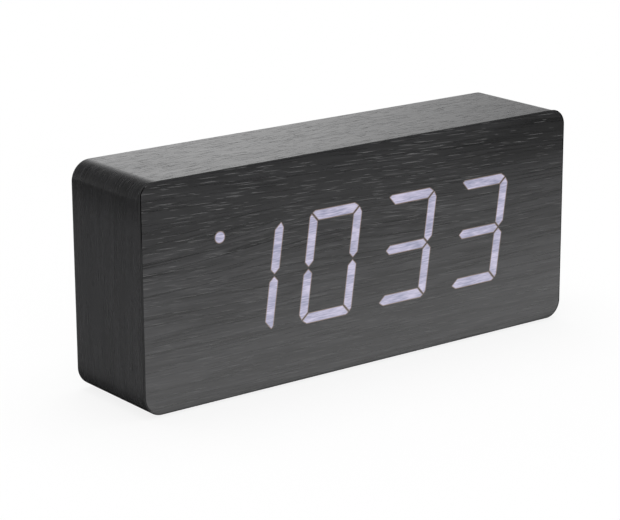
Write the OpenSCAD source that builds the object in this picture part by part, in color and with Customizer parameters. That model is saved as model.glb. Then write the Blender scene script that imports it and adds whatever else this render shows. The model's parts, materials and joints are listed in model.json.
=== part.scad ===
// Digital alarm clock: a veneered box whose seven-segment numerals shine through the front.
// Millimetres. X runs across the clock, Y from its front to its back, Z up.
// The origin lies on the surface that the clock stands on, under the middle of the case.

/* [Case] */
// Width of the finished case
case_w = 210; // [196:1:240]
// Height of the finished case, without its feet
case_h = 89.5; // [85:0.5:110]
// Depth of the finished case
case_d = 46.5; // [45:0.5:60]
// Radius of the four long corners
corner_r = 8; // [4:0.5:9]
// Radius of the corners of the front sheet
front_r = 6.5; // [4:0.5:9]
// Thickness of the boards of the box
board_t = 9; // [8:0.5:10]
// Thickness of the board behind the front veneer
front_board_t = 3; // [2:0.5:4]
// Thickness of the veneer
veneer_t = 0.6; // [0.4:0.1:1]
// Diameter of a stick-on foot
foot_d = 10; // [6:0.5:14]
// Thickness of a foot
foot_t = 0.8; // [0.5:0.1:2]
// Distance from the sides of the case to the centre of a foot
foot_inset = 12; // [9:0.5:16]

/* [Numerals] */
// Digits shown, tens of hours first
shown_digits = [1, 0, 3, 3]; // [0:1:9]
// Height of a digit
digit_h = 44.8; // [40:0.2:48]
// Width of a digit, before it leans
digit_w = 26; // [22:0.2:28]
// Distance from one digit to the next
digit_pitch = 38; // [36:0.5:40]
// Lean of the digits, in degrees
digit_lean = 8; // [0:0.5:10]
// Width of a lit stroke
stroke = 4.3; // [3.4:0.1:5]
// Width of the stroke across the middle
middle_stroke = 3.9; // [3:0.1:4.6]
// Dark gap between two segments
segment_gap = 0.35; // [0.3:0.05:1]
// Cut across the sharp corners of a digit, top right and bottom left
sharp_cut = 4.2; // [2:0.1:6]
// Cut across the blunt corners of a digit, top left and bottom right
blunt_cut = 2.4; // [1:0.1:5]
// Depth of a corner's joint inside the digit's edges, as a share of its cut
joint_share = 0.4; // [0.35:0.01:0.5]
// Distance of the row of digits to the right of the middle
display_shift = 1.4; // [-3:0.1:3]
// Height of the row of digits above the middle
display_rise = 0; // [-2:0.1:2]
// Diameter of the indicator dot
dot_d = 4.9; // [3:0.1:6]
// Distance of the dot to the left of the first digit's centre
dot_left = 14.2; // [13:0.1:16]
// Height of the dot above the digits' centre line
dot_rise = 19.2; // [10:0.1:20]
// Clearance round the dot in the veneer
dot_gap = 0.05; // [0.02:0.01:0.1]

/* [Display stack] */
// Thickness of the diffuser sheet
diffuser_t = 0.4; // [0.2:0.1:1]
// Depth of the reflector
reflector_d = 9; // [7:0.5:11]
// Margin of the reflector round the row of digits
reflector_margin = 3; // [2:0.5:5]
// Clearance of the reflector in the window of the front board
window_gap = 0.2; // [0.1:0.05:0.5]
// Width of the reflector's flange behind the front board
flange_w = 6; // [5:0.5:7]
// Thickness of the flange
flange_t = 1.5; // [1:0.1:2.5]
// Size of a well at the diodes, as a share of its size at the front
well_taper = 0.6; // [0.5:0.05:0.9]
// Thickness of both circuit boards
pcb_t = 1.6; // [1:0.1:2]
// Side of a diode
diode_w = 1.6; // [1:0.1:1.8]
// Height of a diode
diode_h = 0.8; // [0.4:0.1:1.2]
// Distance of a diode from its segment's centre
diode_offset = 3; // [2:0.1:4]

/* [Rear cover] */
// Thickness of the rear cover
cover_t = 2.4; // [2.2:0.1:3]
// Depth of the cover's face inside the rear edge of the case
cover_recess = 2; // [1.8:0.1:3]
// Width of the ledge that carries the cover
ledge_w = 5; // [4.5:0.1:6]
// Clearance round the cover
cover_gap = 0.2; // [0.1:0.05:0.5]
// Corner radius of the cover
cover_r = 4; // [2:0.5:5]
// Depth of the counterbores for the cover's screws
bore_depth = 0.8; // [0.4:0.1:1.2]
// Distance of the outer screws from the cover's ends
cover_screw_inset = 12; // [8:1:30]

/* [Batteries] */
// Diameter of a cell
cell_d = 10.5; // [10:0.1:10.5]
// Length of a cell with its button
cell_l = 44.5; // [43.3:0.1:44.5]
// Distance from one cell to the next
cell_pitch = 11.2; // [11:0.1:11.6]
// Clearance of the cells under the door and at the ends of the row
cell_gap = 0.4; // [0.2:0.1:0.6]
// Clearance of the cells on the floor of the tray
cell_seat = 0.1; // [0.05:0.05:0.3]
// Length of a spring that holds a cell
spring_l = 5; // [4.4:0.1:6]
// Radius of a spring at its plate
spring_base_r = 3.6; // [3.4:0.1:4]
// Radius of a spring at its cell
spring_tip_r = 2.6; // [2.2:0.1:3]
// Turns of a spring
spring_turns = 3; // [2:1:3]
// Diameter of the spring wire
wire_d = 0.6; // [0.4:0.1:0.7]
// Thickness of a contact plate
plate_t = 0.4; // [0.2:0.1:0.6]
// Width of a contact plate
plate_w = 9; // [8:0.1:10]
// Thickness of the tray's walls
tray_wall = 1.5; // [1.2:0.1:1.6]
// Distance of the tray to the left of the middle
tray_left = 42; // [38:1:46]
// Height of the ribs between the cells
cell_rib_h = 2.6; // [1:0.1:3]
// Thickness of those ribs
cell_rib_t = 0.9; // [0.6:0.1:1.2]

/* [Battery door] */
// Thickness of the battery door
door_t = 1.6; // [1.2:0.1:1.7]
// Clearance round the door
door_gap = 0.3; // [0.2:0.05:0.5]
// Overlap of the door beyond the tray at its sides
door_side = 3; // [2.6:0.1:4]
// Overlap of the door below the tray
door_foot = 6.4; // [6.2:0.1:8]
// Overlap of the door above the tray
door_head = 6.5; // [5:0.1:7]
// Corner radius of the door
door_r = 1.5; // [0.5:0.1:2]
// Rounding of the lip that the door tilts on
lip_r = 0.5; // [0.3:0.05:0.6]
// Width of a tab at the foot of the door
tab_w = 8; // [5:0.5:10]
// Thickness of a tab
tab_t = 1.2; // [0.9:0.1:1.4]
// Reach of a tab behind the lip
tab_reach = 2; // [1:0.1:2.5]
// Width of the web that carries a tab
tab_web = 1.5; // [1:0.1:1.8]
// Clearance of a tab behind the lip and in its slot
tab_gap = 0.3; // [0.2:0.05:0.5]
// Width of the snap tongue
tongue_w = 12; // [8:0.5:16]
// Thickness of the snap tongue
tongue_t = 1.2; // [0.9:0.1:1.4]
// Depth of the tongue's legs behind the face of the door
tongue_d = 5; // [4.6:0.1:5.4]
// Gap between the two legs of the tongue
tongue_slot = 1.8; // [1.4:0.1:2.4]
// Clearance of the tongue in its notch
tongue_gap = 0.4; // [0.35:0.05:0.6]
// Reach of the tongue's nib behind the edge of the notch
nib_reach = 0.5; // [0.3:0.05:0.8]
// Height of the nib
nib_h = 1; // [0.6:0.1:1.4]
// Radius of the finger scoop above the tongue
scoop_r = 10; // [8:0.5:14]
// Depth of the finger scoop
scoop_d = 1.1; // [0.6:0.1:1.4]
// Width of the grip ribs on the door
grip_w = 16; // [10:1:24]
// Height of the grip ribs
grip_h = 0.4; // [0.2:0.1:0.6]
// Distance from one grip rib to the next
grip_pitch = 2.2; // [1.6:0.1:3]

/* [Controls] */
// Distance of the control board to the right of the middle
control_right = 46; // [44:1:48]
// Width of the control board
control_w = 72; // [70:1:76]
// Height of the control board
control_h = 46; // [44:1:54]
// Height of the bosses that carry the control board
boss_h = 6.4; // [6:0.1:7.5]
// Radius of a boss
boss_r = 3; // [2.4:0.1:3.4]
// Distance of a boss from the edges of its board
boss_inset = 4; // [3.5:0.1:5]
// Diameter of a button
button_d = 7; // [5:0.1:8]
// Distance from one button to the next
button_pitch = 15; // [12:0.5:17]
// Height of the buttons above the middle of the control board
button_rise = 10; // [8:0.5:12]
// Height of a button above the cover
button_proud = 1.2; // [0.8:0.1:1.6]
// Travel of a button
button_travel = 0.5; // [0.3:0.05:0.7]
// Clearance round a button
button_gap = 0.25; // [0.2:0.05:0.4]
// Width of the collar that keeps a button behind the cover
collar_w = 1.2; // [0.8:0.1:1.6]
// Thickness of the collar
collar_t = 1; // [0.6:0.1:1.2]
// Rounding of a button's edge
button_round = 0.6; // [0.3:0.1:0.8]
// Diameter of the shallow dish round a button
dish_d = 11; // [9:0.5:11.5]
// Depth of the dish
dish_depth = 0.5; // [0.3:0.1:0.8]
// Side of a tact switch
switch_w = 6; // [5:0.1:6.5]
// Height of a tact switch
switch_h = 3.4; // [3:0.1:3.6]
// Diameter of a switch plunger
plunger_d = 3.4; // [2.6:0.1:3.6]
// Length of a plunger inside its switch
plunger_in = 1.2; // [0.8:0.1:1.6]
// Height of a plunger above its switch
plunger_proud = 0.8; // [0.6:0.1:1]
// Running clearance of a plunger
plunger_gap = 0.1; // [0.05:0.01:0.15]
// Diameter of a button's stem
stem_d = 3; // [2:0.1:3.4]
// Outer diameter of the power jack
jack_d = 8; // [7.4:0.1:8.6]
// Diameter of the jack's socket
socket_d = 5.6; // [5:0.1:6]
// Thickness of the jack's floor
jack_floor = 1; // [0.6:0.1:2]
// Side of the jack's base
jack_base = 9; // [8.8:0.1:10]
// Height of the jack's base
jack_base_h = 4; // [2:0.1:5]
// Diameter of the jack's centre pin
pin_d = 2; // [1.6:0.1:2.5]
// Distance of the pin's tip inside the jack's mouth
pin_inset = 1; // [0.6:0.1:2]
// Clearance round the jack in the cover
jack_gap = 0.2; // [0.1:0.05:0.4]
// Distance of the jack to the right of the control board's centre
jack_right = 22; // [20:0.5:23]
// Distance of the jack and the buzzer below the control board's centre
jack_drop = 11; // [9:0.5:12]
// Diameter of the buzzer
buzzer_d = 12; // [9:0.5:14]
// Clearance between the buzzer and the cover
buzzer_gap = 0.5; // [0.3:0.1:1]
// Distance of the buzzer to the left of the control board's centre
buzzer_left = 10; // [4:0.5:14]
// Diameter of a sound hole
sound_hole_d = 1.6; // [1:0.1:2]
// Radius of the ring of sound holes
sound_ring_r = 3.4; // [2.6:0.1:4]
// Sound holes in the ring
sound_holes = 6; // [4:1:8]

/* [Small parts] */
// Diameter of the shank of a cover screw
cover_shank_d = 2.6; // [2.2:0.1:3]
// Length of a cover screw under its head
cover_screw_l = 10; // [8:0.5:14]
// Diameter of the head of a cover screw
cover_head_d = 5; // [4.4:0.1:5.4]
// Height of the head of a cover screw
cover_head_h = 1.8; // [1.4:0.1:2.4]
// Diameter of the shank of a board screw
board_shank_d = 1.8; // [1.6:0.1:2.2]
// Length of a board screw under its head
board_screw_l = 5; // [4:0.5:5.5]
// Diameter of the head of a board screw
board_head_d = 3.8; // [3.2:0.1:4.2]
// Height of the head of a board screw
board_head_h = 1.4; // [1:0.1:1.8]
// Clearance of a screw in the piece that it holds
screw_gap = 0.2; // [0.15:0.05:0.3]
// Clearance of a screw in the piece that it bites into
bite_gap = 0.05; // [0.02:0.01:0.1]
// Free depth of a hole beyond the tip of its screw
tip_room = 1; // [0.5:0.1:1.2]
// Height of a ribbon header
header_h = 6; // [4:0.5:6.5]
// Thickness of a ribbon header
header_t = 5.6; // [4:0.1:6]
// Margin of a header beyond the ribbon
header_margin = 1.5; // [1:0.1:2.5]
// Width of the ribbon cable
ribbon_w = 12.7; // [10:0.1:16]
// Thickness of the ribbon cable
ribbon_t = 1; // [0.8:0.1:1.4]
// Bend radius of the ribbon cable
ribbon_bend = 2; // [1.5:0.1:2.4]
// Height of the header on the display board below the middle
ribbon_drop = 12; // [8:0.5:16]
// Height of the header on the control board above the middle
ribbon_rise = 6; // [2:0.5:10]
// Distance of the ribbon cable to the left of the control board's centre
ribbon_left = 12; // [11:0.5:13]
// Diameter of a battery lead
lead_d = 1.4; // [1:0.1:1.6]
// Clearance of a lead in the wall of the tray
lead_gap = 0.3; // [0.2:0.05:0.4]
// Distance of a lead's joint inside the edge of the control board
lead_inset = 8; // [7:0.5:9]
// Reach of a lead's bend towards the control board
lead_bend = 8; // [6:0.5:9]
// Length of the clock chip
chip_l = 18; // [12:0.5:20]
// Width of the clock chip
chip_w = 7.6; // [5:0.1:8]
// Height of the clock chip
chip_h = 2.4; // [1.6:0.1:2.6]
// Pitch of the chip's legs
leg_pitch = 1.27; // [1.2:0.01:1.4]
// Distance of the chip and the crystal to the left of the middle
chip_left = 30; // [26:1:34]
// Height of the chip and the capacitor above the middle
chip_rise = 4; // [2:0.5:6]
// Distance of the crystal below the middle
crystal_drop = 8; // [7:0.5:10]
// Diameter of the quartz crystal's can
crystal_d = 3; // [2:0.1:3.2]
// Length of the can
crystal_l = 8; // [6:0.1:9]
// Diameter of the smoothing capacitor
capacitor_d = 6.3; // [5:0.1:8]
// Height of the smoothing capacitor
capacitor_h = 8; // [5:0.5:11]

/* [Hidden] */
$fn = 64;

stained = [0.13, 0.13, 0.14];
fibre = [0.2, 0.17, 0.15];
glow = [0.78, 0.77, 0.9];
pale = [0.92, 0.92, 0.9];
black_plastic = [0.09, 0.09, 0.1];
grey_plastic = [0.25, 0.25, 0.27];
board_green = [0.1, 0.32, 0.2];
steel = [0.72, 0.73, 0.75];
rubber = [0.06, 0.06, 0.06];

// How far a cut runs past the face that it opens
past = 1;

// The box inside its veneer, and the room inside its boards
core_w = case_w - 2 * veneer_t;
core_h = case_h - 2 * veneer_t;
core_r = corner_r - veneer_t;
inner_w = core_w - 2 * board_t;
inner_h = core_h - 2 * board_t;
mid_z = foot_t + case_h / 2;

// Depths are measured from the front of the clock
box_front = veneer_t + front_board_t;
reflector_front = veneer_t + diffuser_t;
reflector_back = reflector_front + reflector_d;
display_back = reflector_back + pcb_t;
cover_back = case_d - cover_recess;
cover_front = cover_back - cover_t;
control_back = cover_front - boss_h;
control_front = control_back - pcb_t;

// The row of digits and what lies behind it
row_w = 3 * digit_pitch + digit_w + digit_h * tan(digit_lean);
reflector_w = row_w + 2 * reflector_margin;
reflector_h = digit_h + 2 * reflector_margin;
display_w = reflector_w + 2 * flange_w;
display_h = reflector_h + 2 * flange_w;
post_r = flange_w / 2 - screw_gap;
dot_x = display_shift - 1.5 * digit_pitch - dot_left;
dot_z = display_rise + dot_rise;

// The rear cover and its screws
cover_w = inner_w + 2 * ledge_w;
cover_h = inner_h + 2 * ledge_w;
cover_screw_places = [
    for (side = [-1, 1], i = [-1, 0, 1])
        [i * (cover_w / 2 - cover_screw_inset), side * (cover_h / 2 - ledge_w / 2)]
];

// The battery tray, with its cells lying across the clock
cell_count = 4;
tray_x = -tray_left;
tray_w = 2 * plate_t + cell_l + spring_l;
tray_h = (cell_count - 1) * cell_pitch + cell_d + 2 * cell_gap;
cell_axis = cover_back - door_t - cell_gap - cell_d / 2;
tray_floor = cell_axis - cell_d / 2 - cell_seat;
lead_depth = tray_floor + cell_rib_h;

// The battery door, its lip, tabs and tongue
door_w = tray_w + 2 * door_side;
door_low = -tray_h / 2 - door_foot;
door_top = tray_h / 2 + door_head;
door_inside = cover_back - door_t;
lip_z = door_low - door_gap;
tab_back = cover_front - tab_gap;
tab_front = tab_back - tab_t;
tab_places = [tray_x - door_w / 4, tray_x + door_w / 4];
tab_swing = norm([cover_t + tab_gap + tab_t - lip_r, door_gap + lip_r + tab_web]);
slot_top = lip_z - lip_r + tab_swing + tab_gap;
leg_depth = cover_back - tongue_d;
tongue_top = door_top + tongue_slot + tongue_t;
notch_top = tongue_top + tongue_gap;
notch_low = door_top - tongue_t - tongue_gap;

// The control board and what stands on it
control_x = control_right;
boss_places = [
    for (sx = [-1, 1], sz = [-1, 1])
        [control_x + sx * (control_w / 2 - boss_inset), sz * (control_h / 2 - boss_inset)]
];
button_places = [
    [control_x + button_pitch, button_rise],
    [control_x, button_rise],
    [control_x - button_pitch, button_rise]
];
plunger_top = control_back + switch_h + plunger_proud;
jack_place = [control_x + jack_right, -jack_drop];
buzzer_place = [control_x - buzzer_left, -jack_drop];
display_post_places = [
    for (sx = [-1, 1], sz = [-1, 1])
        [
            display_shift + sx * (display_w / 2 - flange_w / 2),
            display_rise + sz * (display_h / 2 - flange_w / 2)
        ]
];

// Places of the parts on the back of the display board, across and up
chip_place = [-chip_left, chip_rise];
crystal_place = [-chip_left, -crystal_drop];
capacitor_place = [0, chip_rise];
ribbon_x = control_x - ribbon_left;

// Segments a to g that each digit lights, a at the top, then clockwise, g across the middle
LIT = [
    [0, 1, 2, 3, 4, 5], [1, 2], [0, 1, 3, 4, 6], [0, 1, 2, 3, 6], [1, 2, 5, 6],
    [0, 2, 3, 5, 6], [0, 2, 3, 4, 5, 6], [0, 1, 2], [0, 1, 2, 3, 4, 5, 6], [0, 1, 2, 3, 5, 6]
];

// Half a digit's width and height, and the step that opens a gap along a mitre
half_w = digit_w / 2;
half_h = digit_h / 2;
mitre = segment_gap / sqrt(2);

// Outline of the top bar, and of an upper upright whose outer corner has the given cut
sharp_joint = joint_share * sharp_cut;
blunt_joint = joint_share * blunt_cut;
top_bar = [
    [-half_w + stroke + mitre, half_h - stroke],
    [-half_w + blunt_joint + mitre / 2, half_h - blunt_joint + mitre / 2],
    [-half_w + blunt_cut, half_h],
    [half_w - sharp_cut, half_h],
    [half_w - sharp_joint - mitre / 2, half_h - sharp_joint + mitre / 2],
    [half_w - stroke - mitre, half_h - stroke]
];

function upright(cut, joint) = [
    [half_w - joint + mitre / 2, half_h - joint - mitre / 2],
    [half_w, half_h - cut],
    [half_w, stroke / 2 + mitre],
    [half_w - stroke / 2, mitre],
    [half_w - stroke, stroke / 2 + mitre],
    [half_w - stroke, half_h - stroke - mitre]
];

// Outline of the middle bar, whose ends fit between the points of the uprights
middle_tip = half_w - stroke / 2 - mitre;
middle_bar = [
    [-middle_tip, 0],
    [-middle_tip + middle_stroke / 2, middle_stroke / 2],
    [middle_tip - middle_stroke / 2, middle_stroke / 2],
    [middle_tip, 0],
    [middle_tip - middle_stroke / 2, -middle_stroke / 2],
    [-middle_tip + middle_stroke / 2, -middle_stroke / 2]
];

function turned(points) = [for (p = points) -p];
function flipped(points) = [for (p = points) [-p[0], p[1]]];
function leaning(p) = [p[0] + p[1] * tan(digit_lean), p[1]];
function middle(points) = leaning((min_corner(points) + max_corner(points)) / 2);
function min_corner(points) = [min([for (p = points) p[0]]), min([for (p = points) p[1]])];
function max_corner(points) = [max([for (p = points) p[0]]), max([for (p = points) p[1]])];

SEGMENTS = [
    top_bar,
    upright(sharp_cut, sharp_joint),
    turned(flipped(upright(blunt_cut, blunt_joint))),
    turned(top_bar),
    turned(upright(sharp_cut, sharp_joint)),
    flipped(upright(blunt_cut, blunt_joint)),
    middle_bar
];

function digit_x(place) = display_shift + (place - 1.5) * digit_pitch;
function lies_flat(i) = i == 0 || i == 3 || i == 6;

// Points of a swept wire: tangents, rings and the triangles between them
function unit(v) = v / norm(v);
function tangent(path, i) = unit(path[min(i + 1, len(path) - 1)] - path[max(i - 1, 0)]);
function wire_ring(path, i, side, r, sides) =
    let (t = tangent(path, i), n = unit(side - (side * t) * t), b = cross(t, n))
    [for (s = [0 : sides - 1]) path[i] + r * (cos(360 * s / sides) * n + sin(360 * s / sides) * b)];
function wire_points(path, sides_of, r, sides) = [
    for (i = [0 : len(path) - 1])
        each wire_ring(path, i, sides_of[i], r, sides)
];
function wire_faces(rings, sides) = concat(
    [for (s = [1 : sides - 2]) [0, s, s + 1]],
    [
        for (i = [0 : rings - 2], s = [0 : sides - 1], half = [0, 1])
            let (n = (s + 1) % sides, low = i * sides, high = low + sides)
            half == 0 ? [low + s, high + s, high + n] : [low + s, high + n, low + n]
    ],
    [for (s = [1 : sides - 2]) let (last = (rings - 1) * sides) [last, last + s + 1, last + s]]
);

// A cone-shaped coil whose two ends stand straight for one wire diameter
curl_rings = 8;
wire_sides = 6;
coil_rings = spring_turns * curl_rings;
coil_rise = spring_l - 2 * wire_d;
function coil_angle(i) = 360 * i / curl_rings;
function coil_r(i) = spring_base_r + (spring_tip_r - spring_base_r) * i / coil_rings;
function coil_out(i) = [cos(coil_angle(i)), sin(coil_angle(i)), 0];
function coil_point(i) = coil_r(i) * coil_out(i) + [0, 0, wire_d + coil_rise * i / coil_rings];
coil_path = concat(
    [spring_base_r * coil_out(0)],
    [for (i = [0 : coil_rings]) coil_point(i)],
    [spring_tip_r * coil_out(coil_rings) + [0, 0, spring_l]]
);
coil_sides = concat([coil_out(0)], [for (i = [0 : coil_rings]) coil_out(i)], [coil_out(coil_rings)]);
spring_gap = min([
    for (i = [0 : len(coil_path) - 1], j = [i + curl_rings / 2 : 1 : len(coil_path) - 1])
        norm(coil_path[i] - coil_path[j])
]) - wire_d;
echo(least_gap_of_a_spring_to_itself = spring_gap);

// A lead runs in one smooth bend from the wall of the tray to the control board, straight at both ends
lead_rings = 16;
lead_sides = 8;
function bend(a, b, c, d, t) =
    pow(1 - t, 3) * a + 3 * t * pow(1 - t, 2) * b + 3 * t * t * (1 - t) * c + pow(t, 3) * d;
function lead_path(z_from, z_to) =
    let (
        start = [tray_x + tray_w / 2, lead_depth - case_d / 2, mid_z + z_from],
        finish = [control_x - control_w / 2 + lead_inset, control_front - case_d / 2, mid_z + z_to],
        leave = start + [lead_d, 0, 0],
        arrive = finish - [0, lead_d, 0],
        reach = (arrive[0] - leave[0]) / 2
    )
    concat(
        [start],
        [
            for (i = [0 : lead_rings])
                bend(leave, leave + [reach, 0, 0], arrive - [0, lead_bend, 0], arrive, i / lead_rings)
        ],
        [finish]
    );

// Height of a cell's axis, and the end that its button points to
function cell_z(i) = (i - (cell_count - 1) / 2) * cell_pitch;
function cell_way(i) = i % 2 == 0 ? 1 : -1;

// A flat outline with round corners
module rounded(w, h, r) {
    square([w - 2 * r, h], center = true);
    square([w, h - 2 * r], center = true);
    for (sx = [-1, 1], sz = [-1, 1])
        translate([sx * (w / 2 - r), sz * (h / 2 - r)])
            circle(r);
}

// An outline seen from the front, made solid from one depth to another
module slab(front, back) {
    translate([0, back - case_d / 2, mid_z])
        rotate([90, 0, 0])
            linear_extrude(back - front)
                children();
}

// A profile of depth and height, made solid from one side to another
module across(left, right) {
    translate([left, -case_d / 2, mid_z])
        rotate([90, 0, 90])
            linear_extrude(right - left)
                children();
}

// A round bar or hole that runs from one depth to another
module rod(place, r, front, back) {
    translate([place[0], front - case_d / 2, mid_z + place[1]])
        rotate([-90, 0, 0])
            cylinder(r = r, h = back - front);
}

// A turned piece that stands at a depth and points to the back, or to the front
module to_back(place, depth) {
    translate([place[0], depth - case_d / 2, mid_z + place[1]])
        rotate([-90, 0, 0])
            children();
}

module to_front(place, depth) {
    translate([place[0], depth - case_d / 2, mid_z + place[1]])
        rotate([90, 0, 0])
            children();
}

// A pan-head screw with a cross recess, its head above the origin
module screw(head_d, head_h, shank_d, length) {
    slot = head_d / 8;
    difference() {
        union() {
            rotate_extrude()
                polygon([
                    [0, 0], [head_d / 2, 0], [head_d / 2, head_h / 2], [head_d / 3, head_h], [0, head_h]
                ]);
            rotate_extrude()
                polygon([
                    [0, head_h / 4], [shank_d / 2, head_h / 4], [shank_d / 2, shank_d - length],
                    [shank_d / 8, -length], [0, -length]
                ]);
        }
        for (turn = [0, 90])
            rotate(turn)
                translate([-head_d / 4, -slot / 2, head_h / 2])
                    cube([head_d / 2, slot, head_h]);
    }
}

// One segment of a digit, on its place in the row
module segment(place, i) {
    translate([digit_x(place), display_rise])
        polygon([for (p = SEGMENTS[i]) leaning(p)]);
}

// The lit patches of one digit, as wide as the openings of the front veneer
module digit(place) {
    color(glow)
        for (i = LIT[shown_digits[place]])
            slab(0, veneer_t)
                segment(place, i);
}

module core_outline() {
    rounded(core_w, core_h, core_r);
}

// The pocket for the rear cover, with the pilot holes for its screws
module cover_pocket() {
    slab(cover_front, case_d + past)
        rounded(cover_w + 2 * cover_gap, cover_h + 2 * cover_gap, cover_r + cover_gap);
    for (p = cover_screw_places)
        rod(p, cover_shank_d / 2 + bite_gap, cover_back - bore_depth - cover_screw_l - tip_room, cover_back);
}

// A board across the top of the box, or across its bottom
module long_board(side) {
    color(fibre)
        difference() {
            slab(box_front, case_d)
                intersection() {
                    core_outline();
                    translate([0, side * (core_h - board_t) / 2])
                        square([core_w, board_t], center = true);
                }
            cover_pocket();
        }
}

// A board at one end of the box, between the two long ones
module end_board(side) {
    color(fibre)
        difference() {
            slab(box_front, case_d)
                intersection() {
                    core_outline();
                    translate([side * (core_w - board_t) / 2, 0])
                        square([board_t, inner_h], center = true);
                }
            cover_pocket();
        }
}

module top_board() {
    long_board(1);
}

module bottom_board() {
    long_board(-1);
}

module left_board() {
    end_board(-1);
}

module right_board() {
    end_board(1);
}

// The veneer that goes round the box, behind the front veneer
module wrap_veneer() {
    color(stained)
        slab(veneer_t, case_d)
            difference() {
                rounded(case_w, case_h, corner_r);
                core_outline();
            }
}

// The board behind the front veneer, with the window for the display
module front_board() {
    color(fibre)
        slab(veneer_t, box_front)
            difference() {
                core_outline();
                translate([display_shift, display_rise])
                    square([reflector_w + 2 * window_gap, reflector_h + 2 * window_gap], center = true);
            }
}

// The front sheet, whose corners stand a little proud of the wrap, cut along the outline of each lit patch
module front_veneer() {
    color(stained)
        slab(0, veneer_t)
            difference() {
                rounded(case_w, case_h, front_r);
                for (place = [0 : 3], i = LIT[shown_digits[place]])
                    segment(place, i);
                translate([dot_x, dot_z])
                    circle(d = dot_d);
            }
}

module hour_tens() {
    digit(0);
}

module hour_units() {
    digit(1);
}

module minute_tens() {
    digit(2);
}

module minute_units() {
    digit(3);
}

module indicator_dot() {
    color(glow)
        rod([dot_x, dot_z], dot_d / 2 - dot_gap, 0, veneer_t);
}

module diffuser_sheet() {
    color(pale)
        slab(veneer_t, reflector_front)
            translate([display_shift, display_rise])
                square([reflector_w, reflector_h], center = true);
}

// The moulded light mask: a well for each segment, narrowing to its diodes
module segment_reflector() {
    color(pale)
        difference() {
            union() {
                slab(reflector_front, reflector_back)
                    translate([display_shift, display_rise])
                        square([reflector_w, reflector_h], center = true);
                slab(box_front, box_front + flange_t)
                    translate([display_shift, display_rise])
                        square([display_w, display_h], center = true);
                for (p = display_post_places)
                    rod(p, post_r, box_front, reflector_back);
            }
            for (place = [0 : 3], i = [0 : 6])
                well(place, i);
            to_front([dot_x, dot_z], reflector_back)
                cylinder(d1 = dot_d * well_taper, d2 = dot_d, h = reflector_d);
            for (p = display_post_places)
                rod(p, board_shank_d / 2 + bite_gap, display_back - board_screw_l - tip_room, display_back);
        }
}

module well(place, i) {
    centre = middle(SEGMENTS[i]);
    to_front([digit_x(place) + centre[0], display_rise + centre[1]], reflector_back)
        linear_extrude(reflector_d, scale = 1 / well_taper)
            polygon([for (p = SEGMENTS[i]) (leaning(p) - centre) * well_taper]);
}

module display_board() {
    color(board_green)
        difference() {
            slab(reflector_back, display_back)
                translate([display_shift, display_rise])
                    square([display_w, display_h], center = true);
            for (p = display_post_places)
                rod(p, board_shank_d / 2 + screw_gap, reflector_back - past, display_back + past);
        }
}

// Two diodes at the bottom of each well, and one behind the dot
module segment_diodes() {
    color(pale) {
        for (place = [0 : 3], i = [0 : 6], side = [-1, 1]) {
            step = side * diode_offset * (lies_flat(i) ? [1, 0] : [tan(digit_lean), 1]);
            diode([digit_x(place), display_rise] + middle(SEGMENTS[i]) + step);
        }
        diode([dot_x, dot_z]);
    }
}

module diode(place) {
    slab(reflector_back - diode_h, reflector_back)
        translate(place)
            square(diode_w, center = true);
}

module display_screws() {
    color(steel)
        for (p = display_post_places)
            to_back(p, display_back)
                screw(board_head_d, board_head_h, board_shank_d, board_screw_l);
}

// The chip's body, with a row of bent legs along each side
module clock_chip() {
    leg_count = floor((chip_l - leg_pitch) / leg_pitch);
    leg_w = leg_pitch / 3;
    foot_l = leg_w * 2;
    rise = chip_h / 2;
    color(grey_plastic) {
        slab(display_back + leg_w, display_back + chip_h)
            translate(chip_place)
                square([chip_l, chip_w], center = true);
        for (side = [-1, 1], i = [0 : leg_count - 1])
            translate([chip_place[0] + (i - (leg_count - 1) / 2) * leg_pitch, 0, 0])
                across(-leg_w / 2, leg_w / 2)
                    translate([display_back, chip_place[1]])
                        scale([1, side])
                            polygon([
                                [0, chip_w / 2 + foot_l * 2], [0, chip_w / 2 + foot_l],
                                [rise - leg_w, chip_w / 2 + foot_l], [rise - leg_w, chip_w / 2 - leg_w],
                                [rise, chip_w / 2 - leg_w], [rise, chip_w / 2 + foot_l + leg_w],
                                [leg_w, chip_w / 2 + foot_l + leg_w], [leg_w, chip_w / 2 + foot_l * 2]
                            ]);
    }
}

// The crystal's can lies on the board, with a rounded rim at one end
module quartz_crystal() {
    rim = crystal_d / 8;
    color(steel)
        translate([
            crystal_place[0] - crystal_l / 2,
            display_back + crystal_d / 2 - case_d / 2,
            mid_z + crystal_place[1]
        ])
            rotate([0, 90, 0])
                rotate_extrude()
                    polygon([
                        [0, 0], [crystal_d / 2 - rim, 0], [crystal_d / 2, rim],
                        [crystal_d / 2, crystal_l], [0, crystal_l]
                    ]);
}

// The capacitor's can, with the groove near its foot
module smoothing_capacitor() {
    groove = capacitor_d / 12;
    color(grey_plastic)
        to_back(capacitor_place, display_back)
            rotate_extrude()
                polygon([
                    [0, 0], [capacitor_d / 2, 0], [capacitor_d / 2, groove * 2],
                    [capacitor_d / 2 - groove, groove * 3], [capacitor_d / 2, groove * 4],
                    [capacitor_d / 2, capacitor_h - groove], [capacitor_d / 2 - groove, capacitor_h],
                    [0, capacitor_h]
                ]);
}

// The two headers stand on the facing sides of the boards
module ribbon_headers() {
    color(pale) {
        slab(display_back, display_back + header_h)
            translate([ribbon_x, -ribbon_drop])
                square([ribbon_w + 2 * header_margin, header_t], center = true);
        slab(control_front - header_h, control_front)
            translate([ribbon_x, ribbon_rise])
                square([ribbon_w + 2 * header_margin, header_t], center = true);
    }
}

// A quarter of a flat ring, in the quadrant that the two signs give
module quarter_bend(r, t, sd, sz) {
    intersection() {
        difference() {
            circle(r + t / 2);
            circle(r - t / 2);
        }
        translate([sd > 0 ? 0 : -r - t, sz > 0 ? 0 : -r - t])
            square(r + t);
    }
}

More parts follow.
